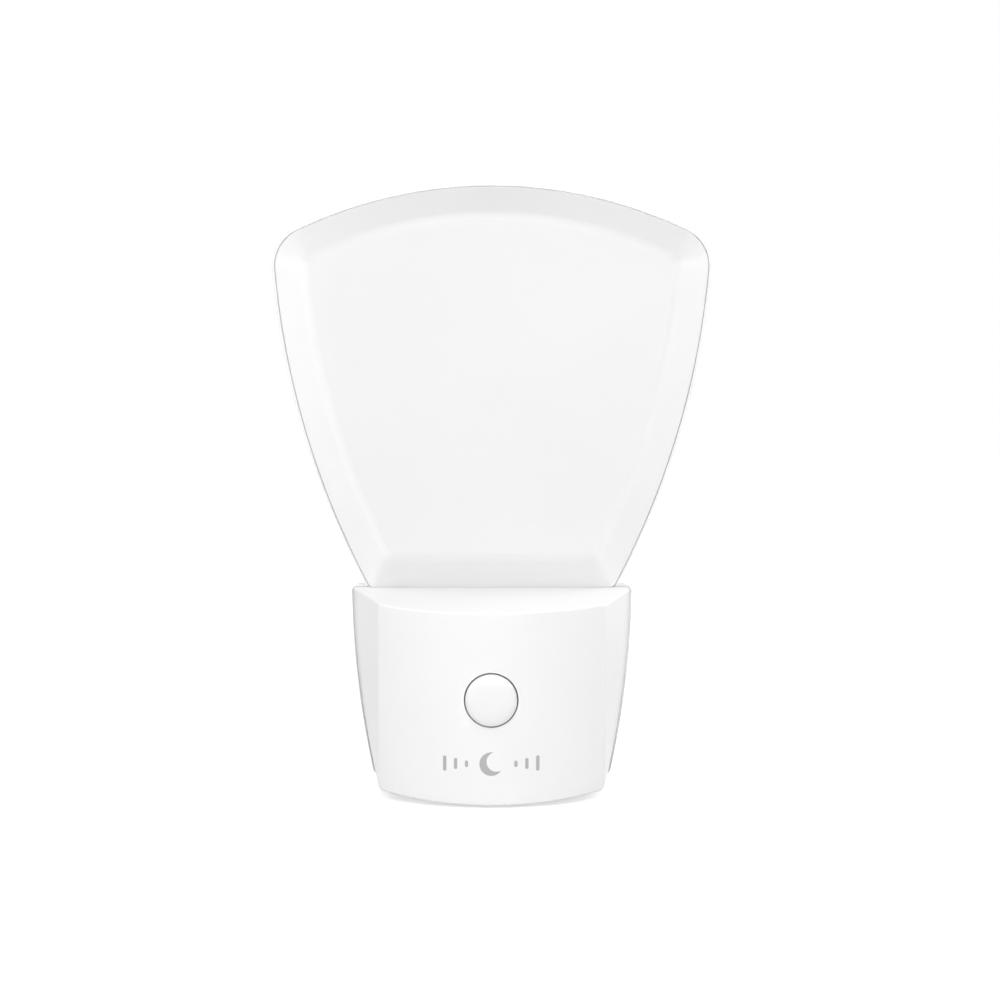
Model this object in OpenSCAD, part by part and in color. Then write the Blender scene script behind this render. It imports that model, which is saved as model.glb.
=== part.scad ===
// Plug-in night light: a fan-shaped translucent shade on a small mains housing.
// Millimetres. The origin is the centre of the plug's engagement face, +Y points into the
// socket, +Z is up, and the housing looks along -Y.

/* [Shade] */
// Widest span of the shade, across its upper corners
shade_w = 84.1; // [76:0.1:92]
// Height of the top of the shade above the plug's centre
shade_top_z = 96.5; // [88:0.1:104]
// Width of the shade where it stands on the housing
shade_foot_w = 47.4; // [44:0.1:51]
// Radius of the arched top edge
crown_r = 87.9; // [70:0.1:110]
// Radius of the bowed side edges
flank_r = 161; // [130:1:220]
// Radius of the two upper corners
corner_r = 7.5; // [6:0.1:11]
// Width of the sloping border round the raised panel
border_w = 6; // [4:0.1:8]
// Height of the raised panel above the rim
panel_rise = 5; // [3:0.1:7]
// Wall of the shade moulding
shade_wall = 1.6; // [1.2:0.1:2]

/* [Housing] */
// Width of the housing at its top edge, against the wall side
housing_top_w = 54; // [52:0.1:60]
// Width of the housing at its foot, against the wall side
housing_foot_w = 45.4; // [44:0.1:50]
// Height of the housing's top edge above the plug's centre
housing_top_z = 18.8; // [17.5:0.1:22]
// Depth of the housing's lower corners below the plug's centre
housing_foot_z = 17.6; // [17:0.1:21]
// Radius of the side outline of the housing
housing_side_r = 175; // [120:1:300]
// Radius of the arched underside
underside_r = 150; // [120:1:300]
// Width of the bowed front between the side facets
front_w = 42.4; // [40:0.1:46]
// Radius of the bowed front
bow_r = 30.7; // [27:0.1:60]
// Depth of the side facets, from the parting line to the bowed front
facet_depth = 17; // [16:0.1:22]
// Fall of the top face towards the front, in degrees
top_slope = 6.5; // [0:0.5:10]
// Wall of the front cover
cover_wall = 1.8; // [1.4:0.1:2.2]
// Rounding of the edges round the bowed front
front_edge_r = 0.8; // [0.4:0.1:1.4]

/* [Rear shell] */
// Distance from the back of the shell to the plug's engagement face
boss_length = 18; // [16:0.1:20]
// Depth of the rear shell, from its back to the parting line
shell_depth = 7; // [6.5:0.1:9]
// Thickness of the shell's back
back_wall = 2; // [1.6:0.1:2.4]
// Wall of the shell's rim
rim_wall = 1.6; // [1.4:0.1:2]
// Part of the rim wall that the front mouldings rest on
rim_land = 0.8; // [0.6:0.1:1]
// How far the rim stands out round the shade
rim_margin = 0.7; // [0.6:0.1:1.2]
// How far the rim stands out round the housing
housing_margin = 0.42; // [0.36:0.02:0.7]
// Width of the shadow groove between the rim and the shade
groove_w = 0.3; // [0.2:0.05:0.5]
// Width of the shadow groove between the rim and the housing
housing_groove_w = 0.2; // [0.1:0.05:0.3]
// Depth of the shadow groove
groove_depth = 0.35; // [0.2:0.05:0.6]
// Rounding of the shell's back edge
back_edge_r = 1.6; // [0.8:0.1:2]
// Depth of the rebate that the front cover's lip sits in
rebate_depth = 2.1; // [1.6:0.1:2.4]

/* [Plug] */
// Width of the plug boss
boss_w = 35.3; // [34:0.1:36]
// Height of the plug boss
boss_h = 13.7; // [13:0.1:14]
// Cut-off at the corners of the plug boss
boss_chamfer = 4.6; // [3:0.1:5]
// Rounding of the edge round the boss's end face
boss_edge_r = 0.5; // [0.2:0.1:0.6]
// Wall of the hollow boss
boss_wall = 1.8; // [1.5:0.1:2.2]
// Thickness of the boss's end wall, which the pins pass through
boss_end_wall = 3; // [2.5:0.1:4]
// Distance between the pins at the engagement face
pin_pitch = 18.6; // [18:0.1:19.2]
// Distance between the pins at their tips
pin_tip_pitch = 17.5; // [17:0.1:18]
// Length of the pins
pin_length = 19; // [18:0.1:20]
// Diameter of the bare contact end of a pin
pin_d = 4; // [3.8:0.02:4.2]
// Diameter of the pin under its sleeve
pin_shank_d = 2.96; // [2.6:0.02:3]
// Outer diameter of the insulating sleeve
sleeve_d = 3.6; // [3.4:0.02:3.68]
// Length of the sleeve in front of the engagement face
sleeve_length = 10; // [9:0.1:11]

/* [Button] */
// Diameter of the push button
button_d = 9.5; // [8:0.1:11]
// Gap round the button
button_gap = 0.2; // [0.15:0.01:0.3]
// Distance that the button travels
button_travel = 1.5; // [1:0.1:1.8]
// How far the button's edge stands out of the bowed front
button_stand = 0.25; // [0.1:0.05:0.6]
// Rise of the button's dome above its edge
dome_rise = 1.2; // [0.8:0.1:1.8]
// Width of the flange that keeps the button in
flange_width = 1.5; // [1:0.1:2]
// Wall of the collar that guides the button
collar_wall = 1.6; // [1.2:0.1:2]
// Length of the collar behind the top of the bow
collar_length = 4.2; // [3.6:0.1:5]

/* [Switch and board] */
// Width of the main board
board_w = 28; // [26:0.5:29]
// Height of the main board
board_h = 28; // [26:0.5:29]
// Thickness of the main board
board_t = 1.6; // [1:0.1:2]
// Side of the square switch body
switch_w = 8; // [7:0.1:8.5]
// Length of the switch body
switch_l = 6.5; // [6:0.1:7]
// Diameter of the switch's moving stem
stem_d = 3; // [2.5:0.1:3.2]
// Wire diameter of the button's spring
spring_wire = 0.4; // [0.3:0.05:0.5]
// Number of turns of the spring
spring_turns = 5; // [4:1:6]

/* [Light] */
// Thickness of the light guide
guide_t = 2.5; // [2:0.1:2.8]
// Number of grooves on the guide's back that turn the light forwards
guide_grooves = 18; // [8:1:24]
// Depth of those grooves
guide_groove_depth = 0.3; // [0.2:0.05:0.5]
// Thickness of the reflector sheet
reflector_t = 0.4; // [0.3:0.1:0.6]
// Number of LEDs in the row
led_count = 4; // [3:1:6]
// Distance between neighbouring LEDs
led_pitch = 9; // [6:0.5:9]
// Length of the LED board
led_board_l = 38; // [34:0.5:40]
// Thickness of the LED board
led_board_t = 1; // [0.8:0.1:1.6]

/* [Latches and ribs] */
// Width of the latches that hold the shade in the rim
latch_w = 6; // [4:0.5:8]
// How far a latch stands out of the shade's lip
latch_rise = 0.35; // [0.2:0.05:0.45]
// Thickness of a latch along the depth
latch_t = 0.8; // [0.6:0.1:1]
// Angle between neighbouring latches on the crown
latch_spread = 15; // [10:1:18]
// Thickness of the stiffening ribs
rib_t = 1; // [0.8:0.1:1.4]

/* [Fasteners] */
// Sideways distance between the housing screws
screw_span_x = 36; // [34:0.5:37]
// Upright distance between the housing screws
screw_span_z = 22; // [20:0.5:23]
// Shank diameter of the housing screws
screw_d = 2.5; // [2:0.1:3]
// Shank diameter of the two screws on the main board
board_screw_d = 1.8; // [1.6:0.1:2.2]
// Distance between the screws on the main board
board_screw_span = 22; // [20:0.5:24]

/* [Hidden] */

$fn = 64;
fit = 0.1;          // gap between mouldings that locate in each other
screw_fit = 0.02;   // gap between a screw's shank and its pilot hole
corner_min = 0.4;   // smallest rounding left on an inner corner
drill = 1;          // how far a cut runs past the faces that it opens
eps = 0.01;

// Roundings of the outlines, and the radius at which a side counts as straight
shade_foot_r = 1.5;
shoulder_r = 0.8;
housing_foot_r = 1.4;
boss_corner_r = 0.8;
straight_r = 5000;

// Steps along the stretches of the outlines
crown_steps = 12;
corner_steps = 7;
flank_steps = 16;
side_steps = 10;
base_steps = 8;
fillet_steps = 3;

// Planes across the depth, from the wall side to the front
back_y = -boss_length;
floor_y = back_y - back_wall;
parting_y = back_y - shell_depth;
ledge_y = parting_y + rebate_depth;
panel_y = parting_y - panel_rise;
edge_y = parting_y - facet_depth;
bow_y = edge_y + sqrt(pow(bow_r, 2) - pow(front_w / 2, 2));
front_y = bow_y - bow_r;

// Heights
shade_gap = 0.2;
shade_foot_z = housing_top_z + shade_gap;
bulkhead_lo = housing_top_z - rim_land;
bulkhead_hi = shade_foot_z + rim_land;

// ---------------------------------------------------------------- outlines in the X-Z plane

function arc(c, r, a0, a1, n) =
    [for (i = [0:n]) let (a = a0 + (a1 - a0) * i / n) c + r * [cos(a), sin(a)]];

function heading(from, to) = atan2(to.y - from.y, to.x - from.x);

function tail(points) = [for (i = [1:len(points) - 1]) points[i]];

// Crossing of two circles, on the right of the line from c1 to c2, or on its left
function crossing(c1, r1, c2, r2, right = true) =
    let (gap = norm(c2 - c1), u = (c2 - c1) / gap)
    let (along = (pow(gap, 2) + pow(r1, 2) - pow(r2, 2)) / (2 * gap))
    let (off = sqrt(pow(r1, 2) - pow(along, 2)) * (right ? 1 : -1))
    c1 + along * u + off * [u.y, -u.x];

// A right half that starts and ends on the axis, closed with its mirror image
function mirrored(half) =
    concat(half, [for (i = [len(half) - 1:-1:0]) if (half[i].x > eps) [-half[i].x, half[i].y]]);

// A closed outline with every corner rounded
function rounded(points, r, n = 4) = [
    for (i = [0:len(points) - 1])
        let (p = points[i], k = len(points))
        let (a = points[(i + k - 1) % k] - p, b = points[(i + 1) % k] - p)
        let (ua = a / norm(a), ub = b / norm(b), mid = (ua + ub) / norm(ua + ub))
        let (half = acos(ua * ub) / 2, c = p + mid * r / sin(half))
        let (a0 = heading(c, p + ua * r / tan(half)), a1 = heading(c, p + ub * r / tan(half)))
        let (turn = (a1 - a0 + 540) % 360 - 180)
        each arc(c, r, a0, a0 + turn, n)];

function block_outline(w, h) = [[w / 2, h / 2], [w / 2, -h / 2], [-w / 2, -h / 2], [-w / 2, h / 2]];

// The shade is bounded by three circles, of which the flank is worked out from its two ends
crown_c = [0, shade_top_z - crown_r];
corner_x = shade_w / 2 - corner_r;
corner_c = [corner_x, crown_c.y + sqrt(pow(crown_r - corner_r, 2) - pow(corner_x, 2))];
flank_c = crossing(corner_c, flank_r - corner_r, [shade_foot_w / 2, shade_foot_z], flank_r);

// Crown, corner and flank of the shade, drawn in by d, down to an angle on the flank
function shade_side(d, end_angle) =
    let (r = max(corner_r - d, corner_min))
    let (c = crossing(crown_c, crown_r - d - r, flank_c, flank_r - d - r))
    concat(
        arc(crown_c, crown_r - d, 90, heading(crown_c, c), crown_steps),
        tail(arc(c, r, heading(crown_c, c), heading(flank_c, c), corner_steps)),
        tail(arc(flank_c, flank_r - d, heading(flank_c, c), end_angle, flank_steps)));

function flank_angle(d, z) = asin((z - flank_c.y) / (flank_r - d));

function shade_outline(d, foot_lift = 0) =
    let (r = max(shade_foot_r - d, corner_min), z = shade_foot_z + d + foot_lift + r)
    let (x = flank_c.x + sqrt(pow(flank_r - d - r, 2) - pow(z - flank_c.y, 2)))
    let (a = heading(flank_c, [x, z]))
    mirrored(concat(shade_side(d, a), tail(arc([x, z], r, a, -90, fillet_steps))));

// The housing's side outline is a circle through its top and foot corners
housing_c = crossing([housing_top_w / 2, housing_top_z], housing_side_r,
    [housing_foot_w / 2, -housing_foot_z], housing_side_r);
underside_c = [0, sqrt(pow(underside_r, 2) - pow(housing_foot_w / 2, 2)) - housing_foot_z];

// Shoulder, side, lower corner and underside of the housing, for a side on circle c, r
function housing_side(d, c, r, top_z) =
    let (rt = max(shoulder_r - d, corner_min), rf = max(housing_foot_r - d, corner_min))
    let (zt = top_z - d - rt, xt = c.x + sqrt(pow(r - d - rt, 2) - pow(zt - c.y, 2)))
    let (f = crossing(underside_c, underside_r - d - rf, c, r - d - rf, false))
    concat(
        arc([xt, zt], rt, 90, heading(c, [xt, zt]), fillet_steps),
        tail(arc(c, r - d, heading(c, [xt, zt]), heading(c, f), side_steps)),
        tail(arc(f, rf, heading(c, f), heading(underside_c, f), fillet_steps)),
        tail(arc(underside_c, underside_r - d, heading(underside_c, f), -90, base_steps)));

// The straight top edge that leads to the first point of a side
function with_top(side) =
    mirrored(concat([for (i = [0:base_steps - 1]) [side[0].x * i / base_steps, side[0].y]], side));

// Half the housing's width at a height, at the parting line
function side_x(z) = housing_c.x + sqrt(pow(housing_side_r, 2) - pow(z - housing_c.y, 2));

// Housing outline where it leaves the parting line
function housing_outline(d) = with_top(housing_side(d, housing_c, housing_side_r, housing_top_z));

// Outline of the bowed front: its sides are straight and upright
function front_outline(d) =
    with_top(housing_side(d, [front_w / 2 - straight_r, 0], straight_r, top_z(edge_y)));

// Shade and housing together, as the rear shell has them, drawn in by two amounts
function shell_outline(shade_d, housing_d) =
    let (a = flank_angle(shade_d, housing_top_z - housing_d))
    mirrored(concat(shade_side(shade_d, a),
        housing_side(housing_d, housing_c, housing_side_r, housing_top_z)));

// The plug boss, a rectangle with its corners cut off and softened, drawn in by d
function boss_outline(d) =
    let (w = boss_w / 2 - d, h = boss_h / 2 - d, cut = boss_chamfer - d * (2 - sqrt(2)))
    rounded([[w - cut, h], [w, h - cut], [w, cut - h], [w - cut, -h],
        [cut - w, -h], [-w, cut - h], [-w, h - cut], [cut - w, h]], boss_corner_r - d, fillet_steps);

// ---------------------------------------------------------------- surfaces

function top_z(y) = housing_top_z + (y - parting_y) * tan(top_slope);

function flat_ring(outline, y) = [for (p = outline) [p.x, y, p.y]];

// The front outline laid on a bowed surface that lies d behind the outer one
function bow_depth(x, d) = bow_y - sqrt(pow(bow_r - d, 2) - pow(x, 2));

function bowed_ring(outline, d, size = 1) = [
    for (q = outline)
        let (p = [q.x * size, q.y * size], y = bow_depth(p.x, d))
        let (share = (p.y + housing_foot_z) / (top_z(edge_y) + housing_foot_z))
        [p.x, y, p.y + (top_z(y) - top_z(edge_y)) * max(share, 0)]];

function between(a, b, f) = [for (i = [0:len(a) - 1]) a[i] + (b[i] - a[i]) * f];

// A solid skinned over rings of equal count that run clockwise along the way they follow each
// other; both ends close on a middle point
module skin(rings, first, last) {
    n = len(rings[0]);
    k = len(rings);
    points = concat([for (ring = rings) each ring], [first, last]);
    sides = [
        for (j = [0:k - 2], i = [0:n - 1])
            let (a = j * n + i, b = j * n + (i + 1) % n)
            each [[a, a + n, b], [b, a + n, b + n]]];
    ends = [
        for (i = [0:n - 1])
            each [[i, (i + 1) % n, n * k], [n * (k - 1) + (i + 1) % n, n * (k - 1) + i, n * k + 1]]];
    polyhedron(points, concat(sides, ends), convexity = 8);
}

// Turns a part drawn along +Z so that it runs along +Y from y
module along_y(y) translate([0, y, 0]) rotate([-90, 0, 0]) children();

// A flat piece with an outline in the X-Z plane, from y_lo to y_hi
module slab(outline, y_lo, y_hi)
    translate([0, y_hi, 0]) rotate([90, 0, 0]) linear_extrude(y_hi - y_lo) polygon(outline);

module hole(x, z, d, y_lo, y_hi) translate([x, 0, z]) along_y(y_lo) cylinder(h = y_hi - y_lo, d = d);

// A round wire or lead swept along a path; ref is a direction that the path never takes
module tube(path, d, ref, sides = 8) {
    n = len(path);
    rings = [
        for (i = [0:n - 1])
            let (step = path[min(i + 1, n - 1)] - path[max(i - 1, 0)], t = step / norm(step))
            let (u0 = ref - (ref * t) * t, u = u0 / norm(u0), v = cross(t, u))
            [for (j = [0:sides - 1]) let (a = 360 * j / sides) path[i] + d / 2 * (cos(a) * u + sin(a) * v)]];
    skin(rings, path[0], path[n - 1]);
}

function bezier(a, b, c, d, n = 12) = [
    for (i = [0:n])
        let (t = i / n, s = 1 - t)
        s * s * s * a + 3 * s * s * t * b + 3 * s * t * t * c + t * t * t * d];

// ---------------------------------------------------------------- shell and cover

screw_places = [for (sx = [-1, 1], sz = [-1, 1]) [sx * screw_span_x / 2, sz * screw_span_z / 2]];
screw_head_d = 2 * screw_d;
head_recess = 2.2;      // depth of the counterbore for a screw's head
head_seat_y = back_y - head_recess;
pillar_wall = 1.2;
screw_boss_wall = 1.75;
pillar_d = screw_head_d + 2 * pillar_wall;
screw_boss_d = screw_d + 2 * screw_boss_wall;
screw_clear = 0.4;      // how much wider a clearance hole is than the shank in it
screw_bite = 7;         // length of shank in a housing screw's boss
pilot_spare = 4.5;      // length of pilot hole left free past a housing screw
cavity_w = boss_w - 2 * boss_wall;
cavity_h = boss_h - 2 * boss_wall;
cavity_r = 2;
cavity_outline = rounded(block_outline(cavity_w, cavity_h), cavity_r);
retainer_pillar_d = board_screw_d + 3;
pin_relief = 0.5;   // depth and width of the relief round each pin
pin_tilt = atan((pin_pitch - pin_tip_pitch) / 2 / pin_length);
notch_w = 3.6;          // width of the notch that the LED board's leads pass through
notch_floor = 0.5;      // what the notch leaves of the bulkhead
led_leads_x = 1.85;
post_d = 5;
post_y = edge_y + 7.4;
post_pilot = 6.5;
shell_middle_z = housing_top_z - 3;
shade_middle_z = shade_foot_z + 30;

// Turns a child to stand on a circle in the X-Z plane, its Z pointing outwards
module on_circle(c, r, a) translate([c.x, 0, c.y]) rotate([0, 90 - a, 0]) translate([0, 0, r]) children();

// Puts a child at each latch of the shade, on an outline drawn in by d
module at_latches(d) {
    low_z = shade_foot_z + 18;
    high_z = corner_c.y - 12;
    for (a = [90 - latch_spread, 90, 90 + latch_spread]) on_circle(crown_c, crown_r - d, a) children();
    for (m = [0, 1], z = [low_z, high_z]) mirror([m, 0, 0])
        on_circle(flank_c, flank_r - d, flank_angle(d, z)) children();
}

// The latch that stands on the shade's lip, or its pocket in the rim, which is larger by gap
module latch(gap) {
    root = 0.3;
    middle_y = (parting_y + ledge_y) / 2;
    translate([-latch_w / 2 - gap, middle_y - latch_t / 2 - gap, -root])
        cube([latch_w + 2 * gap, latch_t + 2 * gap, root + latch_rise + gap]);
}

module shell_body() {
    inner = rim_wall + reflector_t;
    groove_y = parting_y + groove_depth;
    rounding = [for (a = [0:30:90]) back_edge_r * [1 - cos(a), sin(a)]];
    skin(concat(
        [flat_ring(shell_outline(inner, inner), floor_y),
         flat_ring(shell_outline(rim_wall, rim_wall), floor_y - reflector_t),
         flat_ring(shell_outline(rim_wall, rim_wall), ledge_y),
         flat_ring(shell_outline(rim_land, rim_land), ledge_y),
         flat_ring(shell_outline(rim_land, rim_land), parting_y),
         flat_ring(shell_outline(0, 0), parting_y),
         flat_ring(shell_outline(0, 0), groove_y),
         flat_ring(shell_outline(-groove_w, -housing_groove_w), groove_y),
         flat_ring(shell_outline(-groove_w, -housing_groove_w), parting_y),
         flat_ring(shell_outline(-rim_margin, -housing_margin), parting_y)],
        [for (q = rounding)
            flat_ring(shell_outline(q.x - rim_margin, q.x - housing_margin), back_y - back_edge_r + q.y)]),
        [0, floor_y, shell_middle_z], [0, back_y, shell_middle_z]);
}

// The plug boss, whose end face has a rounded edge
module boss_body() {
    root_y = back_y - back_wall / 2;
    rounding = [for (a = [0:30:90]) boss_edge_r * [1 - cos(a), sin(a) - 1]];
    skin(concat([flat_ring(boss_outline(0), root_y)],
        [for (q = rounding) flat_ring(boss_outline(q.x), q.y)]), [0, root_y, 0], [0, 0, 0]);
}

// Low walls on the shell's floor that tie the screw pillars to its sides
module pillar_ribs()
    for (m = [0, 1], p = screw_places) if (p.x > 0) mirror([m, 0, 0])
        translate([p.x, ledge_y + fit, p.y - rib_t / 2])
            cube([side_x(p.y) - rim_wall / 2 - p.x, floor_y - ledge_y - fit + back_wall / 2, rib_t]);

module place_pin(side)
    translate([side * pin_pitch / 2, 0, 0]) rotate([0, 0, side * pin_tilt]) children();

module rear_shell() color("white") difference() {
    union() {
        shell_body();
        boss_body();
        pillar_ribs();
        for (p = screw_places) hole(p.x, p.y, pillar_d, parting_y, back_y - back_wall / 2);
        translate([-shade_foot_w / 2, parting_y, bulkhead_lo])
            cube([shade_foot_w, shell_depth - back_wall / 2, bulkhead_hi - bulkhead_lo]);
    }
    difference() {
        slab(cavity_outline, floor_y - eps, -boss_end_wall);
        hole(0, 0, retainer_pillar_d, retainer_y, 0);
    }
    hole(0, 0, board_screw_d + 2 * screw_fit, retainer_y - drill, -retainer_skin);
    for (p = screw_places) {
        hole(p.x, p.y, screw_d + screw_clear, parting_y - drill, back_y + drill);
        hole(p.x, p.y, screw_head_d + screw_clear, head_seat_y, back_y + drill);
    }
    for (side = [-1, 1]) place_pin(side) {
        along_y(-boss_end_wall - drill)
            cylinder(h = boss_end_wall + 2 * drill, d = sleeve_d + 2 * screw_fit);
        along_y(-pin_relief) cylinder(h = pin_relief + drill, d = sleeve_d + 2 * pin_relief);
    }
    translate([led_leads_x - notch_w / 2, parting_y - drill, bulkhead_lo - drill])
        cube([notch_w, floor_y - notch_floor - parting_y + drill, bulkhead_hi - bulkhead_lo + 2 * drill]);
    at_latches(rim_land + fit) latch(fit);
    // Round the shade the ledge lies no further forward than the guide that the shade rests on
    if (guide_front_y > ledge_y) slab(shade_outline(rim_land), ledge_y - drill, guide_front_y);
}

// Where the border turns into the panel: distance across it and depth below the panel
shade_turn = [[1, 0], [0.4, 0.06], [0, 0.2], [-0.5, 0.42], [-1, 0.7]];
shade_edge_w = 0.3;     // softened edge where the border meets the shade's side
shade_side_h = 0.5;     // height of the shade's upright side

module shade_body() {
    lip = rim_land + fit;
    side_y = parting_y - shade_side_h;
    skin(concat(
        [for (t = shade_turn) flat_ring(shade_outline(border_w + t.x), panel_y + t.y)],
        [flat_ring(shade_outline(shade_edge_w), side_y - shade_edge_w),
         flat_ring(shade_outline(0), side_y),
         flat_ring(shade_outline(0), parting_y),
         flat_ring(shade_outline(lip), parting_y),
         flat_ring(shade_outline(lip), guide_front_y),
         flat_ring(shade_outline(lip + shade_wall), guide_front_y),
         flat_ring(shade_outline(lip + shade_wall), side_y)],
        [for (i = [len(shade_turn) - 1:-1:0]) let (t = shade_turn[i])
            flat_ring(shade_outline(border_w + t.x), panel_y + shade_wall + t.y)]),
        [0, panel_y, shade_middle_z], [0, panel_y + shade_wall, shade_middle_z]);
}

module diffuser() color("white", 0.9) {
    shade_body();
    at_latches(rim_land + fit) latch(0);
}

module cover_body() {
    lip = rim_land + fit;
    base = flat_ring(housing_outline(0), parting_y);
    edge = bowed_ring(front_outline(0), 0);
    base_in = flat_ring(housing_outline(cover_wall), parting_y);
    shares = [0.3, 0.55, 0.8, 1];   // sizes of the rings that follow the bow out to its edge
    skin(concat(
        [for (k = shares) bowed_ring(front_outline(front_edge_r), 0, k)],
        [bowed_ring(front_outline(front_edge_r * 0.3), front_edge_r * 0.3),
         between(base, edge, 1 - front_edge_r / facet_depth),
         base,
         flat_ring(housing_outline(lip), parting_y),
         flat_ring(housing_outline(lip), ledge_y),
         flat_ring(housing_outline(cover_wall), ledge_y),
         base_in],
        [for (i = [len(shares) - 1:-1:0]) bowed_ring(front_outline(cover_wall), cover_wall, shares[i])]),
        [0, front_y, 0], [0, bow_depth(0, cover_wall), 0]);
}

collar_d = button_d + 2 * button_gap + 2 * collar_wall;
collar_y = front_y + collar_length;

// The outline of the bow's middle layer between two places, seen from above
function bow_line(x_lo, x_hi, n = 6) =
    [for (i = [0:n]) let (x = x_lo + (x_hi - x_lo) * i / n) [x, bow_depth(x, cover_wall / 2)]];

module flat_rib(outline, z) translate([0, 0, z - rib_t / 2]) linear_extrude(rib_t) polygon(outline);

// Ribs from the screw bosses to the sides, and a cross through the button's collar
module cover_ribs() {
    front_x = (front_w - cover_wall) / 2;
    end_y = parting_y - 2;
    for (m = [0, 1], p = screw_places) if (p.x > 0) mirror([m, 0, 0])
        flat_rib(concat(bow_line(p.x, front_x),
            [[side_x(p.y) - cover_wall, end_y], [p.x, end_y]]), p.y);
    cross_y = collar_y - rib_t;
    cross_z = collar_d / 2 + 5;
    flat_rib(concat(bow_line(-board_screw_span / 2, board_screw_span / 2, 12),
        [[board_screw_span / 2, cross_y], [-board_screw_span / 2, cross_y]]), 0);
    translate([-rib_t / 2, front_y + cover_wall / 2, -cross_z])
        cube([rib_t, cross_y - front_y - cover_wall / 2, 2 * cross_z]);
}

module front_cover() color("white") difference() {
    union() {
        cover_body();
        cover_ribs();
        hole(0, 0, collar_d, front_y + cover_wall / 2, collar_y);
        for (p = screw_places)
            hole(p.x, p.y, screw_boss_d, bow_depth(abs(p.x) + screw_boss_d / 2, cover_wall / 2), parting_y);
        for (p = board_screw_places)
            hole(p.x, p.y, post_d, bow_depth(abs(p.x) + post_d / 2, cover_wall / 2), post_y);
    }
    hole(0, 0, button_d + 2 * button_gap, front_y - drill, collar_y + drill);
    for (p = screw_places)
        hole(p.x, p.y, screw_d + 2 * screw_fit, parting_y - screw_bite - pilot_spare, parting_y + drill);
    for (p = board_screw_places)
        hole(p.x, p.y, board_screw_d + 2 * screw_fit, post_y - post_pilot, post_y + drill);
}

// ---------------------------------------------------------------- light

guide_back_y = floor_y - reflector_t;
guide_front_y = guide_back_y - guide_t;
led_w = 2.8;
led_d = 1.6;
led_t = 0.8;
led_gap = 0.4;          // air between the LEDs and the guide's edge
dish_d = 1.1;           // the round window in an LED, filled with phosphor
dish_depth = 0.25;
led_y = (guide_back_y + guide_front_y) / 2;
led_board_z = bulkhead_hi;
led_z = led_board_z + led_board_t;
guide_inset = rim_wall + fit;
guide_foot = led_z + led_t + led_gap - shade_foot_z - guide_inset;
sheet_inset = rim_wall + reflector_t + fit;
sheet_drop = 0.8;       // how far the reflector sheet reaches below the guide

// The grooves lie closer together further from the LEDs, where less light is left
groove_lo_z = shade_foot_z + 12;
groove_hi_z = corner_c.y - corner_r;
guide_groove_z = [for (i = [1:guide_grooves])
    groove_lo_z + (groove_hi_z - groove_lo_z) * pow(i / guide_grooves, 0.75)];

module light_guide() color("lightcyan", 0.6) difference() {
    side = guide_groove_depth * sqrt(2);
    slab(shade_outline(guide_inset, guide_foot), guide_front_y, guide_back_y);
    for (z = guide_groove_z) {
        half_w = flank_c.x + sqrt(pow(flank_r, 2) - pow(z - flank_c.y, 2)) - border_w;
        translate([-half_w, guide_back_y, z]) rotate([45, 0, 0]) translate([0, -side / 2, -side / 2])
            cube([2 * half_w, side, side]);
    }
}

module reflector_sheet() color("whitesmoke")
    slab(shade_outline(sheet_inset, guide_foot - sheet_drop), guide_back_y, floor_y);

module led_board() color("white") {
    depth = guide_t + reflector_t - fit;
    translate([-led_board_l / 2, floor_y - depth, led_board_z]) cube([led_board_l, depth, led_board_t]);
}

module leds() color("gold")
    for (i = [0:led_count - 1])
        translate([(i - (led_count - 1) / 2) * led_pitch, led_y, led_z]) difference() {
            translate([-led_w / 2, -led_d / 2, 0]) cube([led_w, led_d, led_t]);
            translate([0, 0, led_t - dish_depth]) cylinder(h = drill, d = dish_d);
        }

// ---------------------------------------------------------------- button and switch

board_front_y = post_y;
board_back_y = post_y + board_t;
flange_y = collar_y + fit;
flange_t = 1;
flange_back_y = flange_y + flange_t;
hub_wall = 1;
hub_d = stem_d + 2 * hub_wall;
button_edge_y = front_y - button_stand;
button_edge_r = 0.7;
stem_fit = 0.05;
stem_grip = 0.9;        // how far the stem reaches past the flange into the button
stem_hold = 2.4;        // length of stem inside the switch when the button is out
stem_spare = 0.4;       // room past the end of the stem when the button is pressed
stem_tip_y = flange_y - stem_grip;
switch_front_y = board_front_y - switch_l;
stem_end_y = switch_front_y + stem_hold;
hub_spare = 0.6;        // room between hub and switch when the button is pressed
hub_length = switch_front_y - flange_back_y - button_travel - hub_spare;

module button_cap() color("white") {
    r = button_d / 2;
    reach = r - button_edge_r * 0.6;
    dome_r = (pow(reach, 2) + pow(dome_rise, 2)) / (2 * dome_rise);
    face = button_edge_y - dome_rise;
    // The profile runs from the dome's centre back to the flange; x is radius, y is -Y depth
    dome = [for (i = [0:8]) let (x = reach * i / 8)
        [x, -face - dome_r + sqrt(pow(dome_r, 2) - pow(x, 2))]];
    profile = concat(dome, [
        [r - button_edge_r / 6, -button_edge_y - button_edge_r * 0.4], [r, -button_edge_y - button_edge_r],
        [r, -flange_y], [r + flange_width, -flange_y], [r + flange_width, -flange_back_y],
        [hub_d / 2, -flange_back_y], [hub_d / 2, -flange_back_y - hub_length],
        [stem_d / 2 + stem_fit, -flange_back_y - hub_length], [stem_d / 2 + stem_fit, -stem_tip_y],
        [0, -stem_tip_y]]);
    rotate([90, 0, 0]) rotate_extrude() polygon(profile);
}

module switch_plunger() color("dimgray")
    hole(0, 0, stem_d, stem_tip_y, stem_end_y);

module switch_body() color("dimgray") difference() {
    slab(rounded(block_outline(switch_w, switch_w), switch_corner_r), switch_front_y, board_front_y);
    hole(0, 0, stem_d + 2 * stem_fit, switch_front_y - drill, stem_end_y + button_travel + stem_spare);
}

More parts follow.
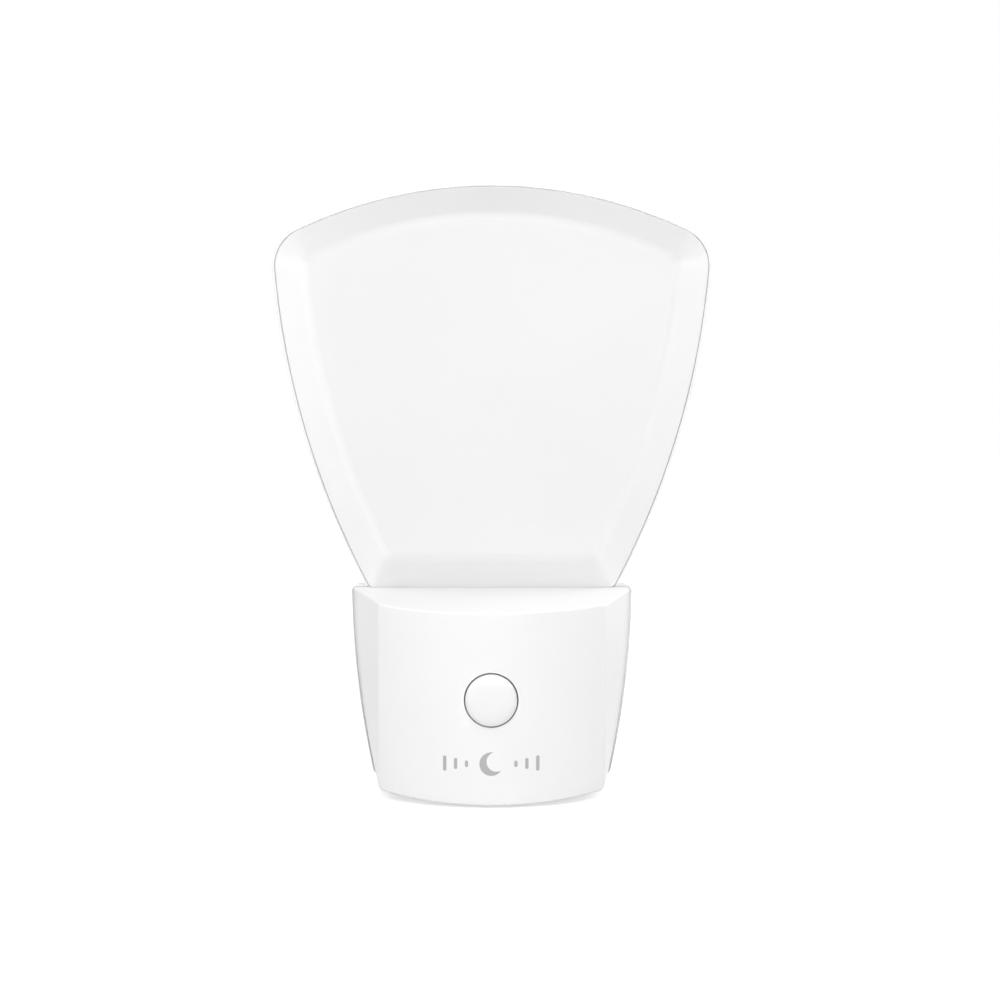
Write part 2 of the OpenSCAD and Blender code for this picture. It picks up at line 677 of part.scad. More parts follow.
switch_corner_r = 0.6;
leg_d = 0.7;
leg_row = 5;            // distance between the two rows of legs
leg_pitch = 2.4;
leg_tail = 1.2;         // length of leg behind the board
leg_places = [for (sx = [-1, 1], i = [-1:1]) [sx * leg_row / 2, i * leg_pitch]];

module switch_legs() color("silver")
    for (p = leg_places) hole(p.x, p.y, leg_d, board_front_y, board_back_y + leg_tail);

module button_spring() color("silver") {
    spring_gap = 0.25;      // between the hub and the spring
    closed = 0.75;          // closed part of a turn at each end
    steps = 14;             // steps in a turn
    rest = switch_front_y - flange_back_y - spring_wire;
    mean_r = hub_d / 2 + spring_gap + spring_wire / 2;
    last = spring_turns - closed;
    path = [
        for (i = [0:steps * spring_turns])
            let (turn = i / steps)
            let (rise = turn < closed ? 0 : turn > last ? 1 : (turn - closed) / (last - closed))
            let (pitch = turn < closed ? turn : turn > last ? closed + turn - last : closed)
            let (y = flange_back_y + spring_wire / 2 + pitch * spring_wire
                + (rest - 2 * closed * spring_wire) * rise)
            [mean_r * cos(360 * turn), y, mean_r * sin(360 * turn)]];
    tube(path, spring_wire, [0, 1, 0]);
}

// ---------------------------------------------------------------- main board

lead_d = 0.6;
board_hole_d = 0.9;
lead_tail = 0.9;                       // length of lead in front of the board
board_room = floor_y - board_back_y;   // height free behind the board
part_clear = 2;                        // what the tallest part leaves of it
dropper = [13, 6, board_room - part_clear - 1];
smoother_d = 8;
smoother_l = board_room - part_clear;
row_room = screw_span_x - pillar_d - dropper.x - smoother_d;   // width left over in the upper row
dropper_at = [(pillar_d - screw_span_x + dropper.x) / 2 + row_room / 8, 8.5];
dropper_pitch = 10;
smoother_at = [(screw_span_x - pillar_d - smoother_d) / 2 - row_room / 4, 8.2];
smoother_pitch = 3.5;
led_pad_z = board_h / 2 - 1.3;         // where the LED board's leads start
bridge = [9, 6, 4.5];
bridge_at = [-7, -8.5];
bridge_pitch = 2.2;
fuse_d = 3.4;
fuse_l = 8;
fuse_at = [6.5, -6];
fuse_pitch = 12;
bleed_d = 2.3;
bleed_l = 6.2;
bleed_at = [6.5, -11];
bleed_pitch = 10;

function pair(at, pitch) = [at - [pitch / 2, 0], at + [pitch / 2, 0]];

bridge_legs = [for (i = [0:3]) bridge_at + [(i - 1.5) * bridge_pitch, 0]];
lead_holes = concat(pair(dropper_at, dropper_pitch), pair(smoother_at, smoother_pitch), bridge_legs,
    pair(fuse_at, fuse_pitch), pair(bleed_at, bleed_pitch), leg_places);

module board_leads(places)
    for (p = places) hole(p.x, p.y, lead_d, board_front_y - lead_tail, board_back_y + eps);

module circuit_board() color("darkgreen") difference() {
    slab(rounded(block_outline(board_w, board_h), 1), board_front_y, board_back_y);
    board_cuts(lead_holes, board_hole_d);
    board_cuts(board_screw_places, board_screw_d + screw_clear);
    board_cuts(screw_places, screw_boss_d + 2 * boss_clear);
}

board_screw_places = [for (sx = [-1, 1]) [sx * board_screw_span / 2, 0]];
boss_clear = 0.5;   // gap between the board and the bosses that it lies between

module board_cuts(places, d)
    for (p = places) hole(p.x, p.y, d, board_front_y - drill, board_back_y + drill);

// A box-shaped part that stands on the back of the board
module board_block(at, w, h, r, height)
    translate([at.x, 0, at.y]) slab(rounded(block_outline(w, h), r), board_back_y, board_back_y + height);

module dropper_capacitor() color("khaki") {
    board_block(dropper_at, dropper.x, dropper.y, 0.5, dropper.z);
    board_leads(pair(dropper_at, dropper_pitch));
}

module smoothing_capacitor() color("midnightblue") {
    r = smoother_d / 2;
    translate([smoother_at.x, 0, smoother_at.y]) along_y(board_back_y) rotate_extrude() polygon([
        [0, 0], [r - 0.6, 0], [r, 0.5], [r, 1.2], [r - 0.4, 1.6], [r, 2],
        [r, smoother_l - 0.5], [r - 0.5, smoother_l], [0, smoother_l]]);
    board_leads(pair(smoother_at, smoother_pitch));
}

module bridge_rectifier() color("black") {
    board_block(bridge_at, bridge.x, bridge.z, 0.4, bridge.y);
    board_leads(bridge_legs);
}

// A resistor that lies along the board, with both leads bent down into it
module axial_resistor(at, d, l, pitch) {
    bend = 1;
    height = d / 2 + 0.3;
    translate([at.x, board_back_y, at.y]) {
        rotate([0, 90, 0]) translate([0, 0, -l / 2]) rotate([0, 0, 90]) translate([height, 0, 0])
            rotate_extrude() polygon([
                [0, 0], [d / 2 - 0.4, 0], [d / 2, 0.4], [d / 2, 1.4], [d / 2 - 0.15, 1.8],
                [d / 2 - 0.15, l - 1.8], [d / 2, l - 1.4], [d / 2, l - 0.4], [d / 2 - 0.4, l], [0, l]]);
        for (m = [0, 1]) mirror([m, 0, 0]) {
            translate([l / 2, height, 0]) rotate([0, 90, 0])
                cylinder(h = pitch / 2 - bend - l / 2, d = lead_d);
            translate([pitch / 2 - bend, height - bend, 0])
                rotate_extrude(angle = 90) translate([bend, 0]) circle(d = lead_d);
        }
    }
    for (p = pair(at, pitch))
        hole(p.x, p.y, lead_d, board_front_y - lead_tail, board_back_y + height - bend);
}

module fuse_resistor() color("tan") axial_resistor(fuse_at, fuse_d, fuse_l, fuse_pitch);

module bleed_resistor() color("steelblue") axial_resistor(bleed_at, bleed_d, bleed_l, bleed_pitch);

// ---------------------------------------------------------------- plug

collar_t = 1.2;
pin_collar_d = 5.2;
pin_tail_d = 2;
pin_tail_l = 5;
pin_collar_y = -boss_end_wall - fit;
tail_y = pin_collar_y - collar_t - pin_tail_l;
retainer_t = 1.8;
retainer_skin = 1;      // what the pilot hole leaves of the boss's end wall
retainer_screw_end = 1.2;
pin_slot = 0.6;         // how much wider the retainer's holes are than the tails in them
retainer_y = pin_collar_y - collar_t - fit;

module plug_pin(side) {
    r = pin_d / 2;
    place_pin(side) along_y(0) rotate_extrude() polygon(concat([
        [0, tail_y], [pin_tail_d / 2, tail_y], [pin_tail_d / 2, pin_collar_y - collar_t],
        [pin_collar_d / 2, pin_collar_y - collar_t], [pin_collar_d / 2, pin_collar_y],
        [pin_shank_d / 2, pin_collar_y], [pin_shank_d / 2, sleeve_length], [r, sleeve_length]],
        arc([0, pin_length - r], r, 0, 90, 6)));
}

module pin_sleeve(side) place_pin(side) along_y(-boss_end_wall) difference() {
    cylinder(h = boss_end_wall + sleeve_length - screw_fit, d = sleeve_d);
    translate([0, 0, -drill])
        cylinder(h = boss_end_wall + sleeve_length + 2 * drill, d = pin_shank_d + 2 * screw_fit);
}

module pin_live() color("gold") plug_pin(1);
module pin_neutral() color("gold") plug_pin(-1);
module sleeve_live() color("dimgray") pin_sleeve(1);
module sleeve_neutral() color("dimgray") pin_sleeve(-1);

module pin_retainer() color("ivory") difference() {
    slab(rounded(block_outline(cavity_w - 2 * fit, cavity_h - 2 * fit), cavity_r - fit),
        retainer_y - retainer_t, retainer_y);
    for (side = [-1, 1]) place_pin(side)
        along_y(retainer_y - retainer_t - drill)
            cylinder(h = retainer_t + 2 * drill, d = pin_tail_d + pin_slot);
    hole(0, 0, board_screw_d + screw_clear, retainer_y - retainer_t - drill, retainer_y + drill);
}

board_screw_bite = 5;

// A pan-head screw along +Y with a cross recess, the underside of its head at the origin
module pan_screw(d, length) {
    head_h = d * 0.62;
    slot_w = d * 0.24;
    difference() {
        union() {
            rotate([90, 0, 0]) rotate_extrude() polygon([
                [0, 0], [d, 0], [d, d * 0.35], [d * 0.8, head_h], [0, head_h]]);
            rotate([-90, 0, 0]) translate([0, 0, -eps]) cylinder(h = length + eps, d = d);
        }
        for (a = [0, 90]) rotate([0, a, 0])
            translate([-d * 0.6, -head_h - eps, -slot_w / 2]) cube([d * 1.2, d * 0.36, slot_w]);
    }
}

module retainer_screw() color("silver")
    translate([0, retainer_y - retainer_t, 0])
        pan_screw(board_screw_d, retainer_t - retainer_y - retainer_screw_end);

module housing_screws() color("silver")
    for (p = screw_places) translate([p.x, head_seat_y, p.y]) mirror([0, 1, 0])
        pan_screw(screw_d, head_seat_y - parting_y + screw_bite);

module board_screws() color("silver")
    for (p = board_screw_places) translate([p.x, board_back_y, p.y]) mirror([0, 1, 0])
        pan_screw(board_screw_d, board_t + board_screw_bite);

// ---------------------------------------------------------------- leads

lead_out_d = 1.5;
led_lead_d = 1.1;
led_lead_gap = 0.4;     // between the LED board's two leads
mains_pad_x = 7;        // where a mains lead meets the board

// A lead that leaves both ends square on, with a stub of straight at each
function lead_path(start, out, pull, end, out_end, pull_end) =
    let (stub = 0.4)
    let (a = start + out * stub, d = end + out_end * stub)
    concat([start], bezier(a, a + out * pull, d + out_end * pull_end, d), [end]);

module mains_lead(side) {
    pull = 9;
    out = [side * sin(pin_tilt), -cos(pin_tilt), 0];
    start = [side * pin_pitch / 2, 0, 0] - out * tail_y;
    end = [side * mains_pad_x, board_back_y, 0];
    tube(lead_path(start, out, pull, end, [0, 1, 0], pull), lead_out_d, [0, 0, 1]);
}

module lead_live() color("saddlebrown") mains_lead(1);
module lead_neutral() color("royalblue") mains_lead(-1);

module led_leads() color("red")
    for (side = [-1, 1]) {
        x = led_leads_x + side * (led_lead_d + led_lead_gap) / 2;
        tube(lead_path([x, board_back_y, led_pad_z], [0, 1, 0], 7, [x, led_y, led_board_z], [0, 0, -1], 5),
            led_lead_d, [1, 0, 0]);
    }

rear_shell();
diffuser();
front_cover();
button_cap();
light_guide();
reflector_sheet();
led_board();
leds();
circuit_board();
switch_body();
switch_plunger();
switch_legs();
button_spring();
dropper_capacitor();
smoothing_capacitor();
bridge_rectifier();
fuse_resistor();
bleed_resistor();
pin_live();
pin_neutral();
sleeve_live();
sleeve_neutral();
pin_retainer();
retainer_screw();
housing_screws();
board_screws();
lead_live();
lead_neutral();
led_leads();
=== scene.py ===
"""Looks of a plug-in night light: an opal, fan-shaped shade on a small mains housing.

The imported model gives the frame. The shade, both housing shells, the button with its spring and the
plug's pins are modelled here at the same sizes, and the other pieces keep their construction meshes.
Shapes are drawn in millimetres and scaled to metres when a piece is finished.
"""

from __future__ import annotations

import logging
import math
from collections.abc import Callable, Mapping
from dataclasses import dataclass, replace
from enum import Enum
from itertools import pairwise

import bmesh
import bpy
from mathutils import Matrix, Vector

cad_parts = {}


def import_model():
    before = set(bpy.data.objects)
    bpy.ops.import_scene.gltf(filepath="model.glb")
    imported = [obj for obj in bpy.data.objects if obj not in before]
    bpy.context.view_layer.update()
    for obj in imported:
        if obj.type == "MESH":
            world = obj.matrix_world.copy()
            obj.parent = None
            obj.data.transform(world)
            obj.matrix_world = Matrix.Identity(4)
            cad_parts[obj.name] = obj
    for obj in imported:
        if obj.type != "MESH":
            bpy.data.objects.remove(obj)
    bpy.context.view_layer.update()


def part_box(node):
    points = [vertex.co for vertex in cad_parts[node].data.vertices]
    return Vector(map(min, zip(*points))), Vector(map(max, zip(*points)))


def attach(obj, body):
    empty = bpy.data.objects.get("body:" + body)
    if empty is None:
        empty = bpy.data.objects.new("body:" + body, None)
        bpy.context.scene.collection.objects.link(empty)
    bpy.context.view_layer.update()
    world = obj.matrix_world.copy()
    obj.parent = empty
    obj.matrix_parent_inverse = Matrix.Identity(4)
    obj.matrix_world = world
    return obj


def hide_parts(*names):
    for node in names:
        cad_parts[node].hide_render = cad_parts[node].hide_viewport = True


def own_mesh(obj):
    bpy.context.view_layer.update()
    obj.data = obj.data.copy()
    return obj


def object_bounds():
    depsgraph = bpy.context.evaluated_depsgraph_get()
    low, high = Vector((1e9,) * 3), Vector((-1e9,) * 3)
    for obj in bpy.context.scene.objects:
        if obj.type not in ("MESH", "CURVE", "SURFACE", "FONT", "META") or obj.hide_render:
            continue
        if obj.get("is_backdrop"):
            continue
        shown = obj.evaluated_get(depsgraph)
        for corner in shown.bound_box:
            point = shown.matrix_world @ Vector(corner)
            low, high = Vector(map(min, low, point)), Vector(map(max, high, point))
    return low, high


log = logging.getLogger("night_light")

MM = 0.001
WELD = 1e-3  # points closer than this many millimetres are one point
HOLD = 16.0  # how far a ring is held away while it is joined to another one, in millimetres
LEVEL = 1e-3  # a normal that leans sideways by less than this faces straight ahead
ROUND_SEGMENTS = 48  # steps round a turned piece or a round hole
CREASE = math.radians(32.0)  # edges that turn further than this stay sharp
LIP_GAP = 0.9  # how far the lips of the cover and the shade stand in from their outlines
RIM_ROUND = 0.15  # rounding of the edges along the parting line
GRAIN_HEIGHT = 0.3  # height of moulded plastic's grain beside that of its orange peel
BRUSHING = (60.0, 4.0, 60.0)  # how finely metal is brushed along each axis, so lines run along Y
# A Mix node has sockets of one name for each kind of data, so its colour sockets go by number.
MIX_FACTOR, MIX_FIRST, MIX_SECOND, MIX_RESULT = 0, 6, 7, 2

BMesh = bmesh.types.BMesh
BMVert = bmesh.types.BMVert
Ring = list[bmesh.types.BMEdge]
Band = list[bmesh.types.BMFace]
Color = tuple[float, float, float, float]
Socket = bpy.types.NodeSocket
Source = Socket | float | tuple[float, ...]  # what an input takes: another socket or a value


# ------------------------------------------------------------------ drawing outlines


@dataclass(frozen=True)
class Circle:
    """A circle in the X-Z plane, in millimetres."""

    x: float
    z: float
    r: float

    def inset(self, d: float) -> Circle:
        """The same circle with its radius smaller by d."""
        return Circle(self.x, self.z, self.r - d)

    def heading(self, x: float, z: float) -> float:
        """Direction from the centre to a point, in degrees."""
        return math.degrees(math.atan2(z - self.z, x - self.x))

    def reach(self, z: float) -> float:
        """X of the right side of the circle at a height."""
        return self.x + math.sqrt(self.r**2 - (z - self.z) ** 2)


def crossing(a: Circle, b: Circle, right: bool = True) -> tuple[float, float]:
    """Finds where two circles cross.

    Args:
        a: The first circle.
        b: The second circle.
        right: Takes the crossing on the right of the line from a's centre to b's.

    Returns:
        X and Z of the crossing.
    """
    gap = math.hypot(b.x - a.x, b.z - a.z)
    ux, uz = (b.x - a.x) / gap, (b.z - a.z) / gap
    along = (gap**2 + a.r**2 - b.r**2) / (2 * gap)
    off = math.sqrt(a.r**2 - along**2) * (1 if right else -1)
    return a.x + along * ux + off * uz, a.z + along * uz - off * ux


@dataclass(frozen=True)
class Arc:
    """A stretch of a circle between two directions in degrees, in equal steps."""

    circle: Circle
    start: float
    end: float
    steps: int

    def draw(self, bm: BMesh, tip: BMVert) -> BMVert:
        """Spins the tip of an outline along the arc.

        Args:
            bm: The mesh that the outline is drawn in.
            tip: The last point drawn.

        Returns:
            The new last point.
        """
        spun = bmesh.ops.spin(
            bm,
            geom=[tip],
            cent=(self.circle.x, tip.co.y, self.circle.z),
            axis=(0, -1, 0),
            angle=math.radians(self.end - self.start),
            steps=self.steps,
        )
        return next(g for g in spun["geom_last"] if isinstance(g, BMVert))


@dataclass(frozen=True)
class Line:
    """A straight stretch to a point, in equal steps."""

    x: float
    z: float
    steps: int

    def draw(self, bm: BMesh, tip: BMVert) -> BMVert:
        """Extrudes the tip of an outline along the line.

        Args:
            bm: The mesh that the outline is drawn in.
            tip: The last point drawn.

        Returns:
            The new last point.
        """
        stride = (Vector((self.x, tip.co.y, self.z)) - tip.co) / self.steps
        for _ in range(self.steps):
            tip = bmesh.ops.extrude_vert_indiv(bm, verts=[tip])["verts"][0]
            bmesh.ops.translate(bm, verts=[tip], vec=stride)
        return tip


@dataclass(frozen=True)
class Outline:
    """The right half of a symmetric outline, from its top on the axis to its foot on the axis."""

    top: float
    strokes: tuple[Arc | Line, ...]

    def ring(self, bm: BMesh, y: float) -> Ring:
        """Draws the outline as a closed ring across Y.

        Args:
            bm: The mesh that the ring is drawn in.
            y: Depth of the ring.

        Returns:
            The edges of the ring.
        """
        known = set(bm.verts)
        tip = bmesh.ops.create_vert(bm, co=(0, y, self.top))["vert"][0]
        for stroke in self.strokes:
            tip = stroke.draw(bm, tip)
        half = [v for v in bm.verts if v not in known]
        bmesh.ops.mirror(
            bm, geom=half + edges_of(half), matrix=Matrix.Identity(4), merge_dist=WELD, axis="X"
        )
        return edges_of([v for v in bm.verts if v not in known])


@dataclass(frozen=True)
class Block:
    """A rectangle with its corners rounded, and cut off first where it has a chamfer."""

    width: float
    height: float
    radius: float
    chamfer: float = 0.0
    side_steps: int = 2
    corner_steps: int = 6

    def outline(self) -> Outline:
        """Draws the block round the origin.

        Returns:
            The outline.
        """
        w, h, r = self.width / 2, self.height / 2, self.radius
        corners = [(w - r, h - r, 90, 0), (w - r, r - h, 0, -90)]
        if self.chamfer:
            t = self.chamfer + r * math.tan(math.radians(45 / 2))
            upper = [(w - t, h - r, 90, 45), (w - r, h - t, 45, 0)]
            lower = [(w - r, t - h, 0, -45), (w - t, r - h, -45, -90)]
            corners = upper + lower
        strokes: list[Arc | Line] = []
        for x, z, start, end in corners:
            a = math.radians(start)
            strokes.append(Line(x + r * math.cos(a), z + r * math.sin(a), self.side_steps))
            strokes.append(Arc(Circle(x, z, r), start, end, self.corner_steps))
        return Outline(h, (*strokes, Line(0, -h, self.side_steps)))


# ------------------------------------------------------------------ working on meshes


def edges_of(verts: list[BMVert]) -> Ring:
    """The edges that touch the given points, each once and in a fixed order."""
    return list(dict.fromkeys(e for v in verts for e in v.link_edges))


def verts_of(ring: Ring) -> list[BMVert]:
    """The points of a ring, each once and in a fixed order."""
    return list(dict.fromkeys(v for e in ring for v in e.verts))


def circle_ring(bm: BMesh, x: float, y: float, z: float, r: float) -> Ring:
    """Draws a round ring across Y.

    Args:
        bm: The mesh that the ring is drawn in.
        x: X of the centre.
        y: Depth of the ring.
        z: Z of the centre.
        r: Radius.

    Returns:
        The edges of the ring.
    """
    place = Matrix.Translation((x, y, z)) @ Matrix.Rotation(math.radians(90), 4, "X")
    made = bmesh.ops.create_circle(bm, radius=r, segments=ROUND_SEGMENTS, matrix=place)
    return edges_of(made["verts"])


def bridge(bm: BMesh, rings: list[Ring]) -> list[Band]:
    """Joins each ring to the next one.

    The second ring of a pair is held further along Y while they are joined. Rings in one plane
    would otherwise give the operator no direction, and it could join them the wrong way round.

    Args:
        bm: The mesh that holds the rings.
        rings: The rings in their order.

    Returns:
        The faces of each band.
    """
    bands: list[Band] = []
    for first, second in pairwise(rings):
        held = verts_of(second)
        side = 1 if held[0].co.y >= verts_of(first)[0].co.y else -1
        away = Vector((0, side * HOLD, 0))
        bmesh.ops.translate(bm, verts=held, vec=away)
        bands.append(bmesh.ops.bridge_loops(bm, edges=first + second)["faces"])
        bmesh.ops.translate(bm, verts=held, vec=-away)
    return bands


def mark(bm: BMesh, mask: str, faces: Band, strength: Callable[[Vector], float]) -> None:
    """Sets a mask on the given faces and leaves it at 0 on the others.

    Args:
        bm: The mesh that holds the faces.
        mask: The mask's name.
        faces: The faces to mark.
        strength: Gives the mask's value at the middle of a face.
    """
    layer = bm.loops.layers.float.new(mask)
    for face in faces:
        value = strength(face.calc_center_median())
        for loop in face.loops:
            loop[layer] = value


def cap(bm: BMesh, ring: Ring) -> None:
    """Closes a ring with one flat face."""
    bmesh.ops.edgeloop_fill(bm, edges=ring)


def fill(bm: BMesh, outer: Ring, holes: list[Ring]) -> None:
    """Fills a flat ring and leaves the holes in it open."""
    edges = outer + [e for hole in holes for e in hole]
    bmesh.ops.triangle_fill(bm, use_beauty=True, use_dissolve=False, edges=edges)


def soften(bm: BMesh, ring: Ring, width: float, segments: int) -> None:
    """Rounds the edges of a ring.

    Args:
        bm: The mesh that holds the ring.
        ring: The edges to round.
        width: Distance from the edge to where the rounding starts.
        segments: Number of faces across the rounding.
    """
    bmesh.ops.bevel(
        bm,
        geom=ring,
        offset=width,
        offset_type="OFFSET",
        segments=segments,
        profile=0.5,
        affect="EDGES",
        material=-1,
        clamp_overlap=True,
    )


def turned(profile: list[tuple[float, float]], segments: int = ROUND_SEGMENTS) -> BMesh:
    """Turns a profile about the Y axis.

    Args:
        profile: Radius and Y of each point of the profile.
        segments: Number of steps round the axis.

    Returns:
        The turned mesh.
    """
    bm = bmesh.new()
    tip = bmesh.ops.create_vert(bm, co=(profile[0][0], profile[0][1], 0))["vert"][0]
    for r, y in profile[1:]:
        step = bmesh.ops.extrude_vert_indiv(bm, verts=[tip])
        bmesh.ops.translate(bm, verts=step["verts"], vec=Vector((r, y, 0)) - tip.co)
        tip = step["verts"][0]
    bmesh.ops.spin(
        bm,
        geom=bm.verts[:] + bm.edges[:],
        cent=(0, 0, 0),
        axis=(0, 1, 0),
        angle=math.tau,
        steps=segments,
        use_merge=True,
    )
    return bm


def quarter_round(r: float, y: float, radius: float, steps: int) -> list[tuple[float, float]]:
    """Draws a quarter circle of a turning profile, from beside its centre to its far end along Y.

    Args:
        r: Distance of its centre from the turning axis.
        y: Y of its centre.
        radius: Radius of the quarter circle.
        steps: Number of steps in it.

    Returns:
        Radius and Y of each point.
    """
    turns = [math.radians(90 * step / steps) for step in range(steps + 1)]
    return [(r + radius * math.cos(a), y + radius * math.sin(a)) for a in turns]


def box_mm(node: str) -> tuple[Vector, Vector]:
    """Lowest and highest corner of a construction node, in millimetres."""
    low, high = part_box(node)
    return low / MM, high / MM


# ------------------------------------------------------------------ shapes


@dataclass(frozen=True)
class Planes:
    """Planes across the depth, from the plug to the room, as Y in millimetres."""

    back: float  # rear face of the rear shell, which the plug boss stands on
    floor: float  # inner face of the rear shell's back
    ledge: float  # where the lips of the cover and the shade end
    parting: float  # where the cover and the shade meet the rear shell
    panel: float  # front of the shade's raised panel

    @classmethod
    def from_frame(cls, back_wall: float = 2.0) -> Planes:
        """Reads the planes off the construction nodes.

        Args:
            back_wall: Thickness of the rear shell's back.

        Returns:
            The planes.
        """
        floor = box_mm("reflector_sheet")[1].y
        return cls(
            back=floor + back_wall,
            floor=floor,
            ledge=box_mm("front_cover")[1].y,
            parting=box_mm("rear_shell")[0].y,
            panel=box_mm("diffuser")[0].y,
        )


@dataclass(frozen=True)
class ShadeShape:
    """The fan: an arched crown, bowed flanks and two round upper corners."""

    width: float
    top: float
    foot: float
    foot_w: float = 47.4
    crown_r: float = 87.9
    flank_r: float = 161.0
    corner_r: float = 7.5
    foot_r: float = 1.5
    corner_min: float = 0.4
    crown_steps: int = 24
    corner_steps: int = 12
    flank_steps: int = 32
    foot_corner_steps: int = 6
    foot_steps: int = 12

    @classmethod
    def from_frame(cls) -> ShadeShape:
        """Takes the overall size from the construction node."""
        low, high = box_mm("diffuser")
        return cls(width=high.x - low.x, top=high.z, foot=low.z)

    @property
    def crown(self) -> Circle:
        """Circle of the top edge."""
        return Circle(0, self.top - self.crown_r, self.crown_r)

    @property
    def flank(self) -> Circle:
        """Finds the circle of the right side edge, which touches the corner and passes the foot.

        Returns:
            The circle.
        """
        x = self.width / 2 - self.corner_r
        z = self.crown.z + math.sqrt((self.crown_r - self.corner_r) ** 2 - x**2)
        corner = Circle(x, z, self.flank_r - self.corner_r)
        cx, cz = crossing(corner, Circle(self.foot_w / 2, self.foot, self.flank_r))
        return Circle(cx, cz, self.flank_r)

    def side(self, d: float, corner_min: float) -> list[Arc]:
        """Crown, corner and flank, drawn in by d, down to the foot's height.

        Args:
            d: Distance that the outline is drawn in.
            corner_min: Smallest radius of the corner.

        Returns:
            The three arcs, of which the last one ends at heading 0.
        """
        r = max(self.corner_r - d, corner_min)
        crown, flank = self.crown, self.flank
        x, z = crossing(crown.inset(d + r), flank.inset(d + r))
        top, down = crown.heading(x, z), flank.heading(x, z)
        return [
            Arc(crown.inset(d), 90, top, self.crown_steps),
            Arc(Circle(x, z, r), top, down, self.corner_steps),
            Arc(flank.inset(d), down, 0, self.flank_steps),
        ]

    def outline(self, d: float, corner_min: float = 0.0) -> Outline:
        """The closed fan, drawn in by d.

        Args:
            d: Distance that the outline is drawn in.
            corner_min: Smallest radius of the corners.

        Returns:
            The outline.
        """
        least = max(corner_min, self.corner_min)
        crown, corner, flank = self.side(d, least)
        r = max(self.foot_r - d, least)
        z = self.foot + d + r
        x = flank.circle.inset(r).reach(z)
        turn = flank.circle.heading(x, z)
        strokes = (
            crown,
            corner,
            replace(flank, end=turn),
            Arc(Circle(x, z, r), turn, -90, self.foot_corner_steps),
            Line(0, self.foot + d, self.foot_steps),
        )
        return Outline(self.top - d, strokes)


